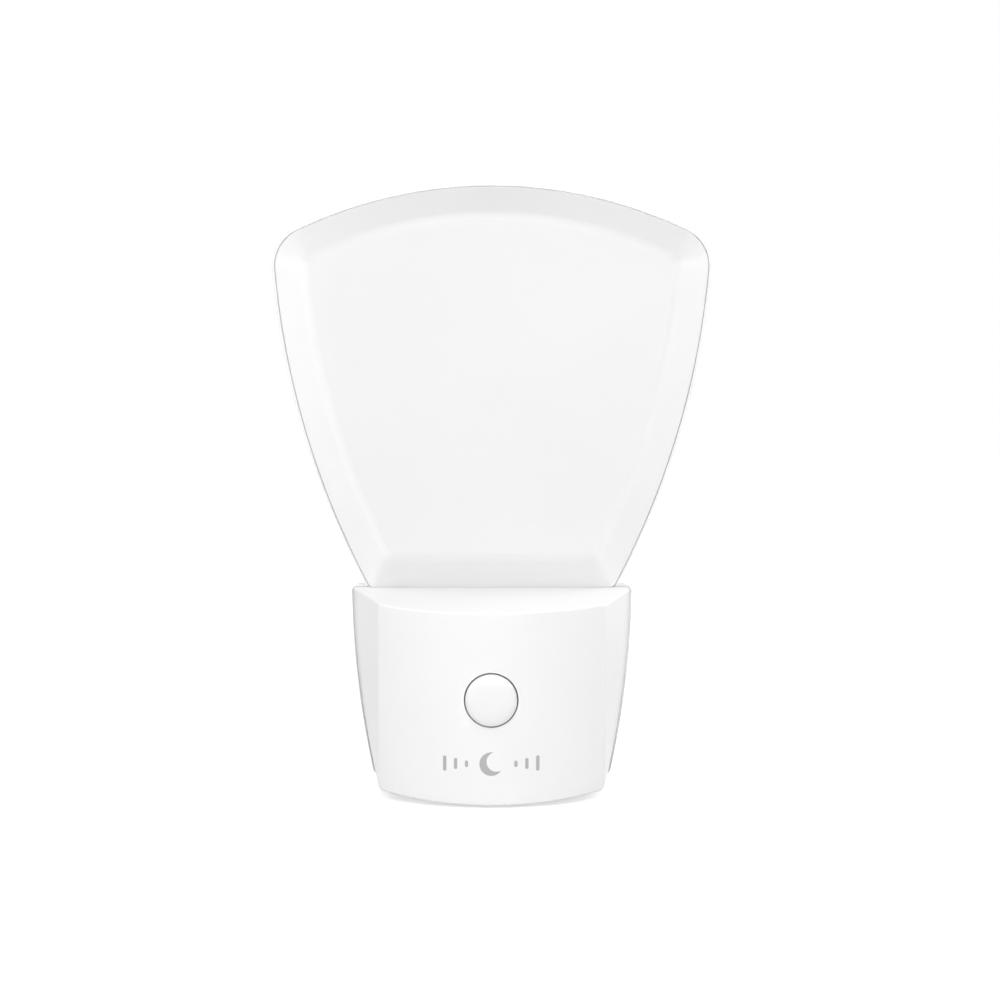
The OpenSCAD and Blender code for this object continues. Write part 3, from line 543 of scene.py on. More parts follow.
@dataclass(frozen=True)
class HousingShape:
    """The housing: a bowed front between two facets, with an arched underside."""

    planes: Planes
    shade: ShadeShape
    top_w: float = 54.0
    foot_w: float = 45.4
    top_z: float = 18.8
    foot_z: float = -17.6
    side_r: float = 175.0
    underside_r: float = 150.0
    front_w: float = 42.4
    bow_r: float = 30.7
    facet_depth: float = 17.0
    top_slope: float = 6.5  # degrees
    shoulder_r: float = 0.8
    foot_r: float = 1.4
    straight: float = 5000.0  # radius of the circle that stands for a straight side
    top_steps: int = 12
    corner_steps: int = 6
    side_steps: int = 20
    underside_steps: int = 12
    seat_steps: int = 2
    bow_cuts: int = 8

    @property
    def edge_y(self) -> float:
        """Depth of the upright edges of the bowed front."""
        return self.planes.parting - self.facet_depth

    @property
    def underside(self) -> Circle:
        """Circle of the underside."""
        z = math.sqrt(self.underside_r**2 - (self.foot_w / 2) ** 2) + self.foot_z
        return Circle(0, z, self.underside_r)

    def top_at(self, y: float) -> float:
        """Height of the sloping top face at a depth."""
        return self.top_z + (y - self.planes.parting) * math.tan(math.radians(self.top_slope))

    def bow_at(self, x: float, wall: float = 0.0) -> float:
        """Depth of the bow at a distance from the middle, a wall's thickness inside it."""
        axis = self.edge_y + math.sqrt(self.bow_r**2 - (self.front_w / 2) ** 2)
        return axis - math.sqrt((self.bow_r - wall) ** 2 - x**2)

    def side(self, d: float, edge: Circle, top: float) -> list[Arc]:
        """Shoulder, side, lower corner and underside, drawn in by d.

        Args:
            d: Distance that the outline is drawn in.
            edge: Circle of the side.
            top: Height of the top face.

        Returns:
            The four arcs.
        """
        shoulder = max(self.shoulder_r - d, self.shade.corner_min)
        foot = max(self.foot_r - d, self.shade.corner_min)
        sz = top - d - shoulder
        sx = edge.inset(d + shoulder).reach(sz)
        fx, fz = crossing(self.underside.inset(d + foot), edge.inset(d + foot), right=False)
        down, across = edge.heading(fx, fz), self.underside.heading(fx, fz)
        return [
            Arc(Circle(sx, sz, shoulder), 90, edge.heading(sx, sz), self.corner_steps),
            Arc(edge.inset(d), edge.heading(sx, sz), down, self.side_steps),
            Arc(Circle(fx, fz, foot), down, across, self.corner_steps),
            Arc(self.underside.inset(d), across, -90, self.underside_steps),
        ]

    def back_side(self, d: float) -> list[Arc]:
        """Shoulder, side, lower corner and underside at the parting line.

        Args:
            d: Distance that the outline is drawn in.

        Returns:
            The four arcs.
        """
        top = Circle(self.top_w / 2, self.top_z, self.side_r)
        x, z = crossing(top, Circle(self.foot_w / 2, self.foot_z, self.side_r))
        return self.side(d, Circle(x, z, self.side_r), self.top_z)

    def flat_topped(self, top: float, arcs: list[Arc]) -> Outline:
        """The outline that the arcs make with a flat top."""
        return Outline(top, (Line(arcs[0].circle.x, top, self.top_steps), *arcs))

    def base(self, d: float) -> Outline:
        """Outline at the parting line, drawn in by d."""
        return self.flat_topped(self.top_z - d, self.back_side(d))

    def front(self, d: float) -> Outline:
        """Outline of the bowed front, whose sides are straight, before it is laid on the bow.

        Args:
            d: Distance that the outline is drawn in.

        Returns:
            The outline.
        """
        edge = Circle(self.front_w / 2 - self.straight, 0, self.straight)
        top = self.top_at(self.edge_y)
        return self.flat_topped(top - d, self.side(d, edge, top))

    def shell(self, shade_d: float, housing_d: float) -> Outline:
        """Outline of shade and housing together.

        Args:
            shade_d: Distance that the shade's part is drawn in.
            housing_d: Distance that the housing's part is drawn in.

        Returns:
            The outline.
        """
        crown, corner, flank = self.shade.side(shade_d, self.shade.corner_min)
        z = self.top_z - housing_d
        foot = flank.circle.heading(flank.circle.reach(z), z)
        arcs = self.back_side(housing_d)
        seat = Line(arcs[0].circle.x, z, self.seat_steps)
        strokes = (crown, corner, replace(flank, end=foot), seat, *arcs)
        return Outline(self.shade.top - shade_d, strokes)

    def lay_on_bow(self, ring: Ring, wall: float = 0.0) -> Ring:
        """Moves a ring of the front onto the bow, with its upper edge in the sloping top.

        Args:
            ring: A ring of the front outline.
            wall: How far behind the outer surface the ring lies.

        Returns:
            The same ring.
        """
        edge_top = self.top_at(self.edge_y)
        for v in verts_of(ring):
            v.co.y = self.bow_at(v.co.x, wall)
            share = max((v.co.z - self.foot_z) / (edge_top - self.foot_z), 0)
            v.co.z += (self.top_at(v.co.y) - edge_top) * share
        return ring

    def mouth(self, bm: BMesh, r: float, wall: float = 0.0) -> Ring:
        """A round ring on the bow whose points lie in line with those of the front outline.

        Args:
            bm: The mesh that the ring is drawn in.
            r: Radius of the ring.
            wall: How far behind the outer surface the ring lies.

        Returns:
            The ring.
        """
        ring = self.front(0).ring(bm, self.edge_y)
        for v in verts_of(ring):
            out = Vector((v.co.x, v.co.z)).normalized() * r
            v.co = (out.x, self.bow_at(out.x, wall), out.y)
        return ring

    def span_bow(self, bm: BMesh, outer: Ring, inner: Ring, wall: float = 0.0) -> None:
        """Joins two rings on the bow with a surface that follows it.

        Args:
            bm: The mesh that holds the rings.
            outer: The ring round the front.
            inner: The ring round the button.
            wall: How far behind the outer surface the rings lie.
        """
        cross = bmesh.ops.bridge_loops(bm, edges=outer + inner)["edges"]
        made = bmesh.ops.subdivide_edges(bm, edges=cross, cuts=self.bow_cuts, use_grid_fill=True)
        for v in made["geom_inner"]:
            if isinstance(v, BMVert):
                v.co.y = self.bow_at(v.co.x, wall)


# ------------------------------------------------------------------ shared shader effects


class Effect(Enum):
    """The node groups that the finishes share."""

    MOULDED = "moulded_skin"
    BRUSHED = "brushed_metal"


class Wiring:
    """Adds and links the nodes of one tree."""

    def __init__(self, tree: bpy.types.NodeTree) -> None:
        """Works on the given tree."""
        self.tree = tree

    def node(
        self, kind: str, inputs: Mapping[str | int, Source] | None = None, **settings: object
    ) -> bpy.types.Node:
        """Adds a node, sets its properties and feeds its inputs.

        Args:
            kind: The node's type without its ShaderNode prefix.
            inputs: A socket or a value for each input, by the input's name or number.
            **settings: Properties of the node.

        Returns:
            The node.
        """
        made = self.tree.nodes.new(kind if kind.startswith("NodeGroup") else f"ShaderNode{kind}")
        for name, value in settings.items():
            setattr(made, name, value)
        self.feed(made, inputs or {})
        return made

    def feed(self, node: bpy.types.Node, inputs: Mapping[str | int, Source]) -> None:
        """Links inputs of a node to sockets, or sets them to values.

        Args:
            node: The node.
            inputs: A socket or a value for each input, by the input's name or number.
        """
        for key, source in inputs.items():
            if isinstance(source, Socket):
                self.tree.links.new(source, node.inputs[key])
            else:
                node.inputs[key].default_value = source

    def math(self, operation: str, *terms: Source) -> Socket:
        """Adds a Math node and gives its output."""
        return self.node("Math", dict(enumerate(terms)), operation=operation).outputs["Value"]

    def noise(self, vector: Socket, scale: float, detail: float) -> Socket:
        """Adds a noise texture.

        Args:
            vector: Socket with the coordinates.
            scale: Features per metre.
            detail: Levels of finer noise.

        Returns:
            The noise as a value from 0 to 1.
        """
        inputs = {"Vector": vector, "Scale": scale, "Detail": detail}
        return self.node("TexNoise", inputs).outputs["Fac"]

    def mix(self, factor: Source, first: Source, second: Source, blend: str = "MIX") -> Socket:
        """Adds a colour mix.

        Args:
            factor: How much of the second colour is taken.
            first: First colour.
            second: Second colour.
            blend: How the colours are put together.

        Returns:
            The mixed colour.
        """
        inputs = {MIX_FACTOR: factor, MIX_FIRST: first, MIX_SECOND: second}
        return self.node("Mix", inputs, data_type="RGBA", blend_type=blend).outputs[MIX_RESULT]


def moulded_skin(wires: Wiring, vector: Socket) -> tuple[Socket, Socket, Socket]:
    """Makes the texture of moulded plastic: faint clouds, fine grain and orange peel.

    Args:
        wires: The wiring of the effect's group.
        vector: Socket with the coordinates.

    Returns:
        The patches of the colour, what varies the gloss with them, and the height.
    """
    clouds = wires.noise(vector, scale=45, detail=3)
    peel = wires.noise(vector, scale=700, detail=2)
    grain = wires.noise(vector, scale=4200, detail=1)
    return clouds, grain, wires.math("MULTIPLY_ADD", grain, GRAIN_HEIGHT, peel)


def brushed_metal(wires: Wiring, vector: Socket) -> tuple[Socket, Socket, Socket]:
    """Makes the texture of metal: soft patches of tarnish and fine drawing lines.

    Args:
        wires: The wiring of the effect's group.
        vector: Socket with the coordinates.

    Returns:
        The patches of the colour, what varies the gloss with them, and the height.
    """
    stretched = wires.node("Mapping", {"Vector": vector, "Scale": BRUSHING})
    lines = wires.noise(stretched.outputs["Vector"], scale=60, detail=3)
    return wires.noise(vector, scale=260, detail=3), lines, lines


def effect_group(kind: Effect) -> bpy.types.NodeTree:
    """Builds the shared group of an effect, or gives the one built before.

    Args:
        kind: The effect.

    Returns:
        The group, which varies a colour and a roughness over the surface and gives its height.
    """
    found = bpy.data.node_groups.get(kind.value)
    if found is not None:
        return found
    tree = bpy.data.node_groups.new(kind.value, "ShaderNodeTree")
    amounts = dict.fromkeys(("Variation", "Roughness", "Unevenness"), "Float")
    inputs = {"Vector": "Vector", "Color": "Color", **amounts}
    outputs = {"Color": "Color", "Roughness": "Float", "Height": "Float"}
    for side, sockets in (("INPUT", inputs), ("OUTPUT", outputs)):
        for name, data in sockets.items():
            tree.interface.new_socket(name=name, in_out=side, socket_type=f"NodeSocket{data}")
    wires = Wiring(tree)
    given = wires.node("NodeGroupInput").outputs
    texture = {Effect.MOULDED: moulded_skin, Effect.BRUSHED: brushed_metal}[kind]
    patches, lines, height = texture(wires, given["Vector"])
    swing = wires.math("SUBTRACT", wires.math("ADD", patches, lines), 1.0)
    results = {
        "Color": wires.mix(given["Variation"], given["Color"], patches, "MULTIPLY"),
        "Roughness": wires.math("MULTIPLY_ADD", swing, given["Unevenness"], given["Roughness"]),
        "Height": height,
    }
    wires.node("NodeGroupOutput", results)
    return tree


# ------------------------------------------------------------------ finishes


@dataclass(frozen=True)
class Finish:
    """What every finish has: a name, a colour and the strength of its surface relief."""

    name: str
    color: Color
    roughness: float = 0.3
    unevenness: float = 0.05
    variation: float = 0.03
    relief: float = 0.02
    relief_height: float = 0.00005
    effect: Effect = Effect.MOULDED

    @property
    def constants(self) -> dict[str, Source]:
        """Values that are the same all over the surface."""
        return {}

    def pattern(self, wires: Wiring, vector: Socket) -> Source:
        """The colour before it is varied: one tone, unless a finish has a pattern of its own."""
        return self.color

    def material(self) -> bpy.types.Material:
        """Builds the material, or gives the one built before.

        Returns:
            The material.
        """
        name = f"{self.name}_finish"
        found = bpy.data.materials.get(name)
        if found is not None:
            return found
        made = bpy.data.materials.new(name)
        made.use_nodes = True
        made.diffuse_color = self.color
        wires = Wiring(made.node_tree)
        vector = wires.node("TexCoord").outputs["Object"]
        given = {
            "Vector": vector,
            "Color": self.pattern(wires, vector),
            "Variation": self.variation,
            "Roughness": self.roughness,
            "Unevenness": self.unevenness,
        }
        varied = wires.node("Group", given, node_tree=effect_group(self.effect)).outputs
        relief = {"Strength": self.relief, "Distance": self.relief_height, "Height": varied["Height"]}
        surface = {
            "Base Color": varied["Color"],
            "Roughness": varied["Roughness"],
            "Normal": wires.node("Bump", relief).outputs["Normal"],
            **self.constants,
        }
        wires.feed(made.node_tree.nodes["Principled BSDF"], surface)
        return made


@dataclass(frozen=True)
class Plastic(Finish):
    """Moulded plastic, with a clear gloss where it has a coat."""

    coat: float = 0.0
    gloss: float = 0.5
    glow: float = 0.0
    glow_depth: float = 0.0008
    coat_roughness: float = 0.12
    index: float = 1.5
    glow_spread: tuple[float, float, float] = (1.0, 0.95, 0.9)  # of red, green and blue light

    @property
    def constants(self) -> dict[str, Source]:
        """Lists the coat, the gloss and the light that spreads under the surface.

        Returns:
            The value of each of the shader's inputs.
        """
        return {
            "Coat Weight": self.coat,
            "Coat Roughness": self.coat_roughness,
            "IOR": self.index,
            "Specular IOR Level": self.gloss,
            "Subsurface Weight": self.glow,
            "Subsurface Radius": self.glow_spread,
            "Subsurface Scale": self.glow_depth,
        }


@dataclass(frozen=True)
class PaintedLightPlastic(Plastic):
    """Plastic with light and shade painted in: it passes into a second, painted tone where a mask on the
    piece says so.
    """

    mask: str = "thickness"
    # The painted tone: painted light on the shade's flanks, painted shadow in the housing's groove.
    painted_tone: Color = (0.9, 0.9, 0.9, 1)

    def pattern(self, wires: Wiring, vector: Socket) -> Source:
        """The base tone and the painted tone, mixed by the piece's mask.

        Args:
            wires: The material's wiring.
            vector: Not used.

        Returns:
            The colour.
        """
        share = wires.node("Attribute", attribute_name=self.mask)
        return wires.mix(share.outputs["Fac"], self.color, self.painted_tone)


@dataclass(frozen=True)
class Metal(Finish):
    """Plated or drawn metal."""

    roughness: float = 0.24
    unevenness: float = 0.12
    variation: float = 0.15
    relief: float = 0.08
    effect: Effect = Effect.BRUSHED

    @property
    def constants(self) -> dict[str, Source]:
        """Metal all over."""
        return {"Metallic": 1.0}


@dataclass(frozen=True)
class Clear(Finish):
    """Clear moulded acrylic."""

    index: float = 1.49

    @property
    def constants(self) -> dict[str, Source]:
        """Clear all through."""
        return {"Transmission Weight": 1.0, "IOR": self.index}


@dataclass(frozen=True)
class Banded(Plastic):
    """Lacquer with coloured bands along X, centred on a piece."""

    centre: float = 0.0
    length: float = 0.008
    bands: tuple[Color, ...] = ()
    first_band: float = 0.2  # where the first band starts, as a share of the length
    band_field: float = 0.6  # share of the length that the bands are spread over
    band_fill: float = 0.45  # how much of its part of that field a band fills

    def pattern(self, wires: Wiring, vector: Socket) -> Source:
        """Bands that are spread evenly along the body.

        Args:
            wires: The material's wiring.
            vector: Socket with the coordinates.

        Returns:
            The banded colour.
        """
        x = wires.node("SeparateXYZ", {"Vector": vector}).outputs["X"]
        along = wires.math("SUBTRACT", x, self.centre - self.length / 2)
        ramp = wires.node("ValToRGB", {"Fac": wires.math("DIVIDE", along, self.length)})
        stops = ramp.color_ramp.elements
        ramp.color_ramp.interpolation = "CONSTANT"
        for stop in stops:
            stop.color = self.color
        pitch = self.band_field / max(len(self.bands), 1)
        for i, band in enumerate(self.bands):
            start = self.first_band + pitch * i
            stops.new(start).color = band
            stops.new(start + pitch * self.band_fill).color = self.color
        return ramp.outputs["Color"]


@dataclass(frozen=True)
class CircuitMask(Plastic):
    """Lacquered board with lighter tracks that run in straight steps."""

    track: Color = (0.10, 0.30, 0.14, 1)
    track_pitch: float = 0.0025
    track_width: float = 0.12  # in pitches, as is the run
    track_run: float = 3.1

    def pattern(self, wires: Wiring, vector: Socket) -> Source:
        """Tracks as the joints of a brick pattern.

        Args:
            wires: The material's wiring.
            vector: Socket with the coordinates.

        Returns:
            The patterned colour.
        """
        turn = wires.node("Mapping", {"Vector": vector, "Rotation": (math.radians(90), 0, 0)})
        bricks = {
            "Vector": turn.outputs["Vector"],
            "Color1": self.color,
            "Color2": self.color,
            "Mortar": self.track,
            "Scale": 1 / self.track_pitch,
            "Mortar Size": self.track_width,
            "Brick Width": self.track_run,
            "Row Height": 1.0,
        }
        return wires.node("TexBrick", bricks).outputs["Color"]


def tone(value: float, tint: tuple[float, float, float] = (1.0, 1.0, 1.0)) -> Color:
    """A grey of that strength, tinted."""
    return (value * tint[0], value * tint[1], value * tint[2], 1.0)


# The housing's dark second tone is a painted shadow in the groove round the parting line.
HOUSING_WHITE = PaintedLightPlastic(
    "housing_white",
    tone(0.88),
    roughness=0.32,
    gloss=0.4,
    relief=0.03,
    mask="seam",
    painted_tone=tone(0.2),
)
BUTTON_WHITE = Plastic("button_white", tone(0.87), roughness=0.3, gloss=0.35, relief=0.02)
# The shade's whiter tone is painted light on its sideways-facing flanks, and its base tone is painted
# shade along the crown.
SHADE_WHITE = PaintedLightPlastic(
    "shade_white",
    tone(0.65),
    roughness=0.38,
    gloss=0.4,
    glow=0.12,
    relief=0.03,
    mask="thickness",
    painted_tone=tone(0.97),
)
PRINT_GREY = Plastic("print_grey", tone(0.45), roughness=0.5, variation=0.1)
SLEEVE_GREY = Plastic("sleeve_grey", tone(0.16), roughness=0.42, relief=0.06)
RETAINER_PLASTIC = Plastic("retainer_plastic", tone(0.7, (1.0, 0.97, 0.9)), roughness=0.45)
BLACK_PLASTIC = Plastic("black_plastic", tone(0.03), roughness=0.4)
NICKEL_PLATE = Metal("nickel_plate", tone(0.72, (1.0, 0.97, 0.92)), roughness=0.2)
SCREW_STEEL = Metal("screw_steel", tone(0.55), roughness=0.3)
SPRING_STEEL = Metal("spring_steel", tone(0.5), roughness=0.28)
TINNED_WIRE = Metal("tinned_wire", tone(0.66), roughness=0.35)
CLEAR_ACRYLIC = Clear("clear_acrylic", tone(0.97), roughness=0.06, unevenness=0.02, variation=0.0)
REFLECTOR_FILM = Plastic("reflector_film", tone(0.86), roughness=0.2, coat=0.5)
BOARD_WHITE = Plastic("board_white", tone(0.78), roughness=0.35, coat=0.3)
BOARD_GREEN = CircuitMask("board_green", (0.02, 0.14, 0.05, 1), roughness=0.3, coat=0.4)
LED_EMITTER = Plastic("led_emitter", (0.85, 0.62, 0.16, 1), roughness=0.35, glow=0.2, variation=0.1)
FILM_YELLOW = Plastic("film_yellow", (0.55, 0.36, 0.06, 1), roughness=0.28, coat=0.4)
CAN_BLUE = Plastic("can_blue", (0.02, 0.04, 0.16, 1), roughness=0.25, coat=0.3)
WIRE_BROWN = Plastic("wire_brown", (0.12, 0.045, 0.02, 1), roughness=0.45, relief=0.1)
WIRE_BLUE = Plastic("wire_blue", (0.02, 0.08, 0.38, 1), roughness=0.45, relief=0.1)
WIRE_RED = Plastic("wire_red", (0.42, 0.02, 0.02, 1), roughness=0.45, relief=0.1)
BAND_BROWN, BAND_BLACK = (0.1, 0.03, 0.01, 1.0), tone(0.01)
BAND_RED, BAND_GOLD = (0.5, 0.02, 0.01, 1.0), (0.5, 0.3, 0.06, 1.0)


# ------------------------------------------------------------------ pieces


def crease(bm: BMesh) -> None:
    """Marks the edges that turn too far to be shaded as one surface."""
    for edge in bm.edges:
        edge.smooth = len(edge.link_faces) == 2 and edge.calc_face_angle(0.0) < CREASE


def make_piece(
    bm: BMesh, name: str, finish: Finish, body: str, replaces: tuple[str, ...] = ()
) -> bpy.types.Object:
    """Turns a mesh in millimetres into a finished piece.

    Args:
        bm: The mesh, which is used up.
        name: The piece's name.
        finish: Its finish.
        body: The body that it rides on.
        replaces: Construction nodes that it stands for.

    Returns:
        The piece.
    """
    bmesh.ops.remove_doubles(bm, verts=bm.verts[:], dist=WELD)
    bmesh.ops.recalc_face_normals(bm, faces=bm.faces[:])
    crease(bm)
    bmesh.ops.scale(bm, vec=(MM, MM, MM), verts=bm.verts[:])
    mesh = bpy.data.meshes.new(name)
    bm.to_mesh(mesh)
    bm.free()
    mesh.polygons.foreach_set("use_smooth", [True] * len(mesh.polygons))
    piece = bpy.data.objects.new(name, mesh)
    bpy.context.scene.collection.objects.link(piece)
    weigh = piece.modifiers.new("even_shading", "WEIGHTED_NORMAL")
    weigh.keep_sharp = True
    mesh.materials.append(finish.material())
    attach(piece, body)
    if replaces:
        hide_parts(*replaces)
    log.info("%s: %d faces, on body %s", name, len(mesh.polygons), body)
    return piece


def dress(finishes: Mapping[str, Finish]) -> None:
    """Gives construction nodes their finishes.

    Args:
        finishes: The finish of each node, by the node's name.
    """
    for node, finish in finishes.items():
        slots = bpy.data.objects[node].data.materials
        slots.clear()
        slots.append(finish.material())
        log.info("%s: dressed in %s", node, finish.name)


@dataclass
class Shade:
    """The opal shade with its sloping border and raised panel, and the light inside it."""

    planes: Planes
    shape: ShadeShape
    housing_top: float
    wall: float = 1.6
    border: float = 6.0
    side_height: float = 0.6
    panel_round: float = 1.1
    panel_corner: float = 2.0
    foot_sink: float = 0.1  # how far the foot stands into the cover's edge, so that no gap shows
    # How much of the whiter tone, which is painted light, shows on the panel, along the foot and at the
    # upper corners; where it is missing, as along the crown, the darker tone is painted shade.
    panel_share: float = 0.42
    foot_share: float = 0.6
    corner_share: float = 0.45
    # How late it grows towards the flanks, above and below, and from the panel down the border.
    corner_power: float = 14.0
    foot_power: float = 1.4
    tone_falloff: float = 0.9

    def build(self) -> None:
        """Models the shade and dresses what lies behind it."""
        make_piece(self.mesh(), "shade", SHADE_WHITE, "root", ("diffuser",))
        dress(
            {
                "light_guide": CLEAR_ACRYLIC,
                "reflector_sheet": REFLECTOR_FILM,
                "led_board": BOARD_WHITE,
                "leds": LED_EMITTER,
            }
        )

    def mesh(self) -> BMesh:
        """Models the shade as one closed band of rings between its panel's two faces.

        Returns:
            The mesh.
        """
        bm = bmesh.new()
        planes, inner = self.planes, LIP_GAP + self.wall
        shape = replace(self.shape, foot=self.housing_top - self.foot_sink)
        panel_outline = shape.outline(self.border, self.panel_corner)
        panel = panel_outline.ring(bm, planes.panel)
        rim = shape.outline(0).ring(bm, planes.parting - self.side_height)
        steps = (
            (0, planes.parting),
            (LIP_GAP, planes.parting),
            (LIP_GAP, planes.ledge),
            (inner, planes.ledge),
            (inner, planes.parting - RIM_ROUND),
        )
        walls = [shape.outline(d).ring(bm, y) for d, y in steps]
        panel_back = panel_outline.ring(bm, planes.panel + self.wall)
        bridge(bm, [panel, rim, *walls, panel_back])
        cap(bm, panel)
        cap(bm, panel_back)
        soften(bm, panel, self.panel_round, segments=6)
        soften(bm, rim, RIM_ROUND, segments=3)
        self.mark_painted_light(bm)
        return bm

    def mark_painted_light(self, bm: BMesh) -> None:
        """Marks the painted light and shade in the moulding's tone: lightest along its flanks, which face
        sideways, and darkest along its crown, which faces up.

        Args:
            bm: The shade's mesh.
        """
        bmesh.ops.recalc_face_normals(bm, faces=bm.faces[:])
        bm.normal_update()
        run = self.planes.parting - self.side_height - self.planes.panel
        slope = run / math.hypot(run, self.border)
        # Painted light and shade: the share of the whiter tone is set by which way each point faces.
        mask = bm.verts.layers.float.new(SHADE_WHITE.mask)
        for v in bm.verts:
            v[mask] = self.share_at(v.normal, slope)

    def share_at(self, normal: Vector, slope: float) -> float:
        """How much painted light the moulding's tone carries where its surface faces a given way.

        Args:
            normal: The way that the surface faces.
            slope: How far the border's normal leans sideways.

        Returns:
            The share of the whiter, painted tone.
        """
        lean = math.hypot(normal.x, normal.z)
        if lean < LEVEL:
            return self.panel_share
        flank = abs(normal.x) / lean
        if normal.z > 0:
            border = self.corner_share * flank + (1 - self.corner_share) * flank**self.corner_power
        else:
            border = self.foot_share + (1 - self.foot_share) * flank**self.foot_power
        tilt = min(lean / slope, 1) ** self.tone_falloff
        return self.panel_share * (1 - tilt) + border * tilt


@dataclass
class Housing:
    """The front cover, the rear shell with its plug boss, and their screws."""

    planes: Planes
    shape: HousingShape
    plug: Plug
    cover_wall: float = 1.8
    edge_round: float = 0.4
    mouth_r: float = 4.95
    mouth_round: float = 0.22
    collar_r: float = 6.55
    collar_length: float = 4.2
    rim_wall: float = 1.6
    rim_land: float = 0.8
    rim_margin: float = 0.7
    housing_margin: float = 0.42
    groove_w: float = 0.3
    housing_groove_w: float = 0.24
    groove_depth: float = 0.35
    # How much painted shadow the groove round the parting line gets below the crown: along the flanks, and
    # on each side of the housing.
    crown_z: float = 87.0
    seam_shadow_flank: float = 0.34
    seam_shadow_left: float = 0.33
    seam_shadow_right: float = 0.1
    seam_shadow_rest: float = 0.4  # the groove gets no painted shadow this far above and below the housing's top
    back_round: float = 1.6
    back_round_steps: int = 6
    boss: Block = Block(width=35.3, height=13.7, radius=0.8, chamfer=4.6)
    boss_round: float = 0.5
    cavity: Block = Block(width=31.7, height=10.1, radius=2.0)
    pin_relief: float = 0.5  # width and depth of the step round each pin
    screw_span: tuple[float, float] = (36.0, 22.0)  # across and up
    screw_hole_r: float = 1.45
    recess_r: float = 2.7
    recess_depth: float = 2.2
    pillar_r: float = 3.7
    bulkhead: tuple[float, float] = (18.0, 19.8)  # its underside and its top

    def build(self) -> None:
        """Models both shells and dresses the screws."""
        make_piece(self.cover(), "cover", HOUSING_WHITE, "root", ("front_cover",))
        make_piece(self.shell(), "shell", HOUSING_WHITE, "root", ("rear_shell",))
        dress({"housing_screws": SCREW_STEEL})

    def cover(self) -> BMesh:
        """Models the front cover as one closed band of rings.

        Returns:
            The mesh.
        """
        bm = bmesh.new()
        shape, planes, wall = self.shape, self.planes, self.cover_wall
        base = shape.base(0).ring(bm, planes.parting)
        edge = shape.lay_on_bow(shape.front(0).ring(bm, shape.edge_y))
        mouth = shape.mouth(bm, self.mouth_r)
        collar_y = shape.bow_at(0) + self.collar_length
        hole_back, collar_back = shape.mouth(bm, self.mouth_r), shape.mouth(bm, self.collar_r)
        for v in verts_of(hole_back) + verts_of(collar_back):
            v.co.y = collar_y
        collar = shape.mouth(bm, self.collar_r, wall)
        edge_in = shape.lay_on_bow(shape.front(wall).ring(bm, shape.edge_y), wall)
        bridge(bm, [base, edge])
        shape.span_bow(bm, edge, mouth)
        bridge(bm, [mouth, hole_back, collar_back, collar])
        shape.span_bow(bm, edge_in, collar, wall)
        steps = (
            (wall, planes.parting),
            (wall, planes.ledge),
            (LIP_GAP, planes.ledge),
            (LIP_GAP, planes.parting),
        )
        bridge(bm, [edge_in, *(shape.base(d).ring(bm, y) for d, y in steps), base])
        soften(bm, edge, self.edge_round, segments=4)
        soften(bm, mouth, self.mouth_round, segments=3)
        soften(bm, base, RIM_ROUND, segments=2)
        return bm

    def shell(self) -> BMesh:
        """Models the rear shell: its rim and back, the pillars, the bulkhead and the boss.

        Returns:
            The mesh.
        """
        bm = bmesh.new()
        shape, planes = self.shape, self.planes
        wall, land, deep = self.rim_wall, self.rim_land, planes.parting + self.groove_depth
        inner_floor = shape.shell(wall, wall).ring(bm, planes.floor)
        outer = shape.shell(-self.rim_margin, -self.housing_margin).ring(bm, planes.parting)
        rim = ((wall, wall, planes.ledge), (land, land, planes.ledge), (land, land, planes.parting))
        groove = (
            (0, 0, planes.parting),
            (0, 0, deep),
            (-self.groove_w, -self.housing_groove_w, deep),
            (-self.groove_w, -self.housing_groove_w, planes.parting),
        )
        steps = [shape.shell(*margins).ring(bm, y) for *margins, y in rim + groove]
        back = self.back_rings(bm)
        bands = bridge(bm, [inner_floor, *steps, outer, *back])
        # The groove's walls and floor get a painted shadow, stronger on the left than on the right, which
        # darkens the outline.
        seam = bands[len(rim) + 1 : len(rim + groove)]
        mark(bm, HOUSING_WHITE.mask, [face for band in seam for face in band], self.seam_shadow_share)
        tubes = [self.screw_tube(bm, x, z) for x, z in self.screw_places()]
        boss_root = self.boss.outline().ring(bm, planes.back)
        fill(bm, back[-1], [boss_root, *(recess for _, recess in tubes)])
        cavity_mouth = self.boss_walls(bm, boss_root)
        fill(bm, inner_floor, [cavity_mouth, *(pillar for pillar, _ in tubes)])
        soften(bm, outer, RIM_ROUND, segments=2)
        self.add_bulkhead(bm)
        return bm

    def seam_shadow_share(self, place: Vector) -> float:
        """How much painted shadow the groove round the parting line gets at a place.

        Args:
            place: Where the seam is asked about.

        Returns:
            The share of the painted shadow: none along the crown and the housing's top, some elsewhere,
                more on the left than on the right.
        """
        if place.z > self.crown_z:
            return 0.0
        if place.z > self.shape.top_z + self.seam_shadow_rest:
            return self.seam_shadow_flank
        if place.z > self.shape.top_z - self.seam_shadow_rest:
            return 0.0
        return self.seam_shadow_left if place.x < 0 else self.seam_shadow_right

    def back_rings(self, bm: BMesh) -> list[Ring]:
        """Draws the rounding between the shell's side and its back.

        Args:
            bm: The shell's mesh.

        Returns:
            Its rings, of which the last one lies in the back.
        """
        rings: list[Ring] = []
        for step in range(self.back_round_steps + 1):
            a = math.radians(90 * step / self.back_round_steps)
            d = self.back_round * (1 - math.cos(a))
            y = self.planes.back - self.back_round * (1 - math.sin(a))
            rings.append(self.shape.shell(d - self.rim_margin, d - self.housing_margin).ring(bm, y))
        return rings

    def screw_places(self) -> list[tuple[float, float]]:
        """X and Z of the four housing screws."""
        w, h = self.screw_span
        return [(sx * w / 2, sz * h / 2) for sx in (-1, 1) for sz in (-1, 1)]

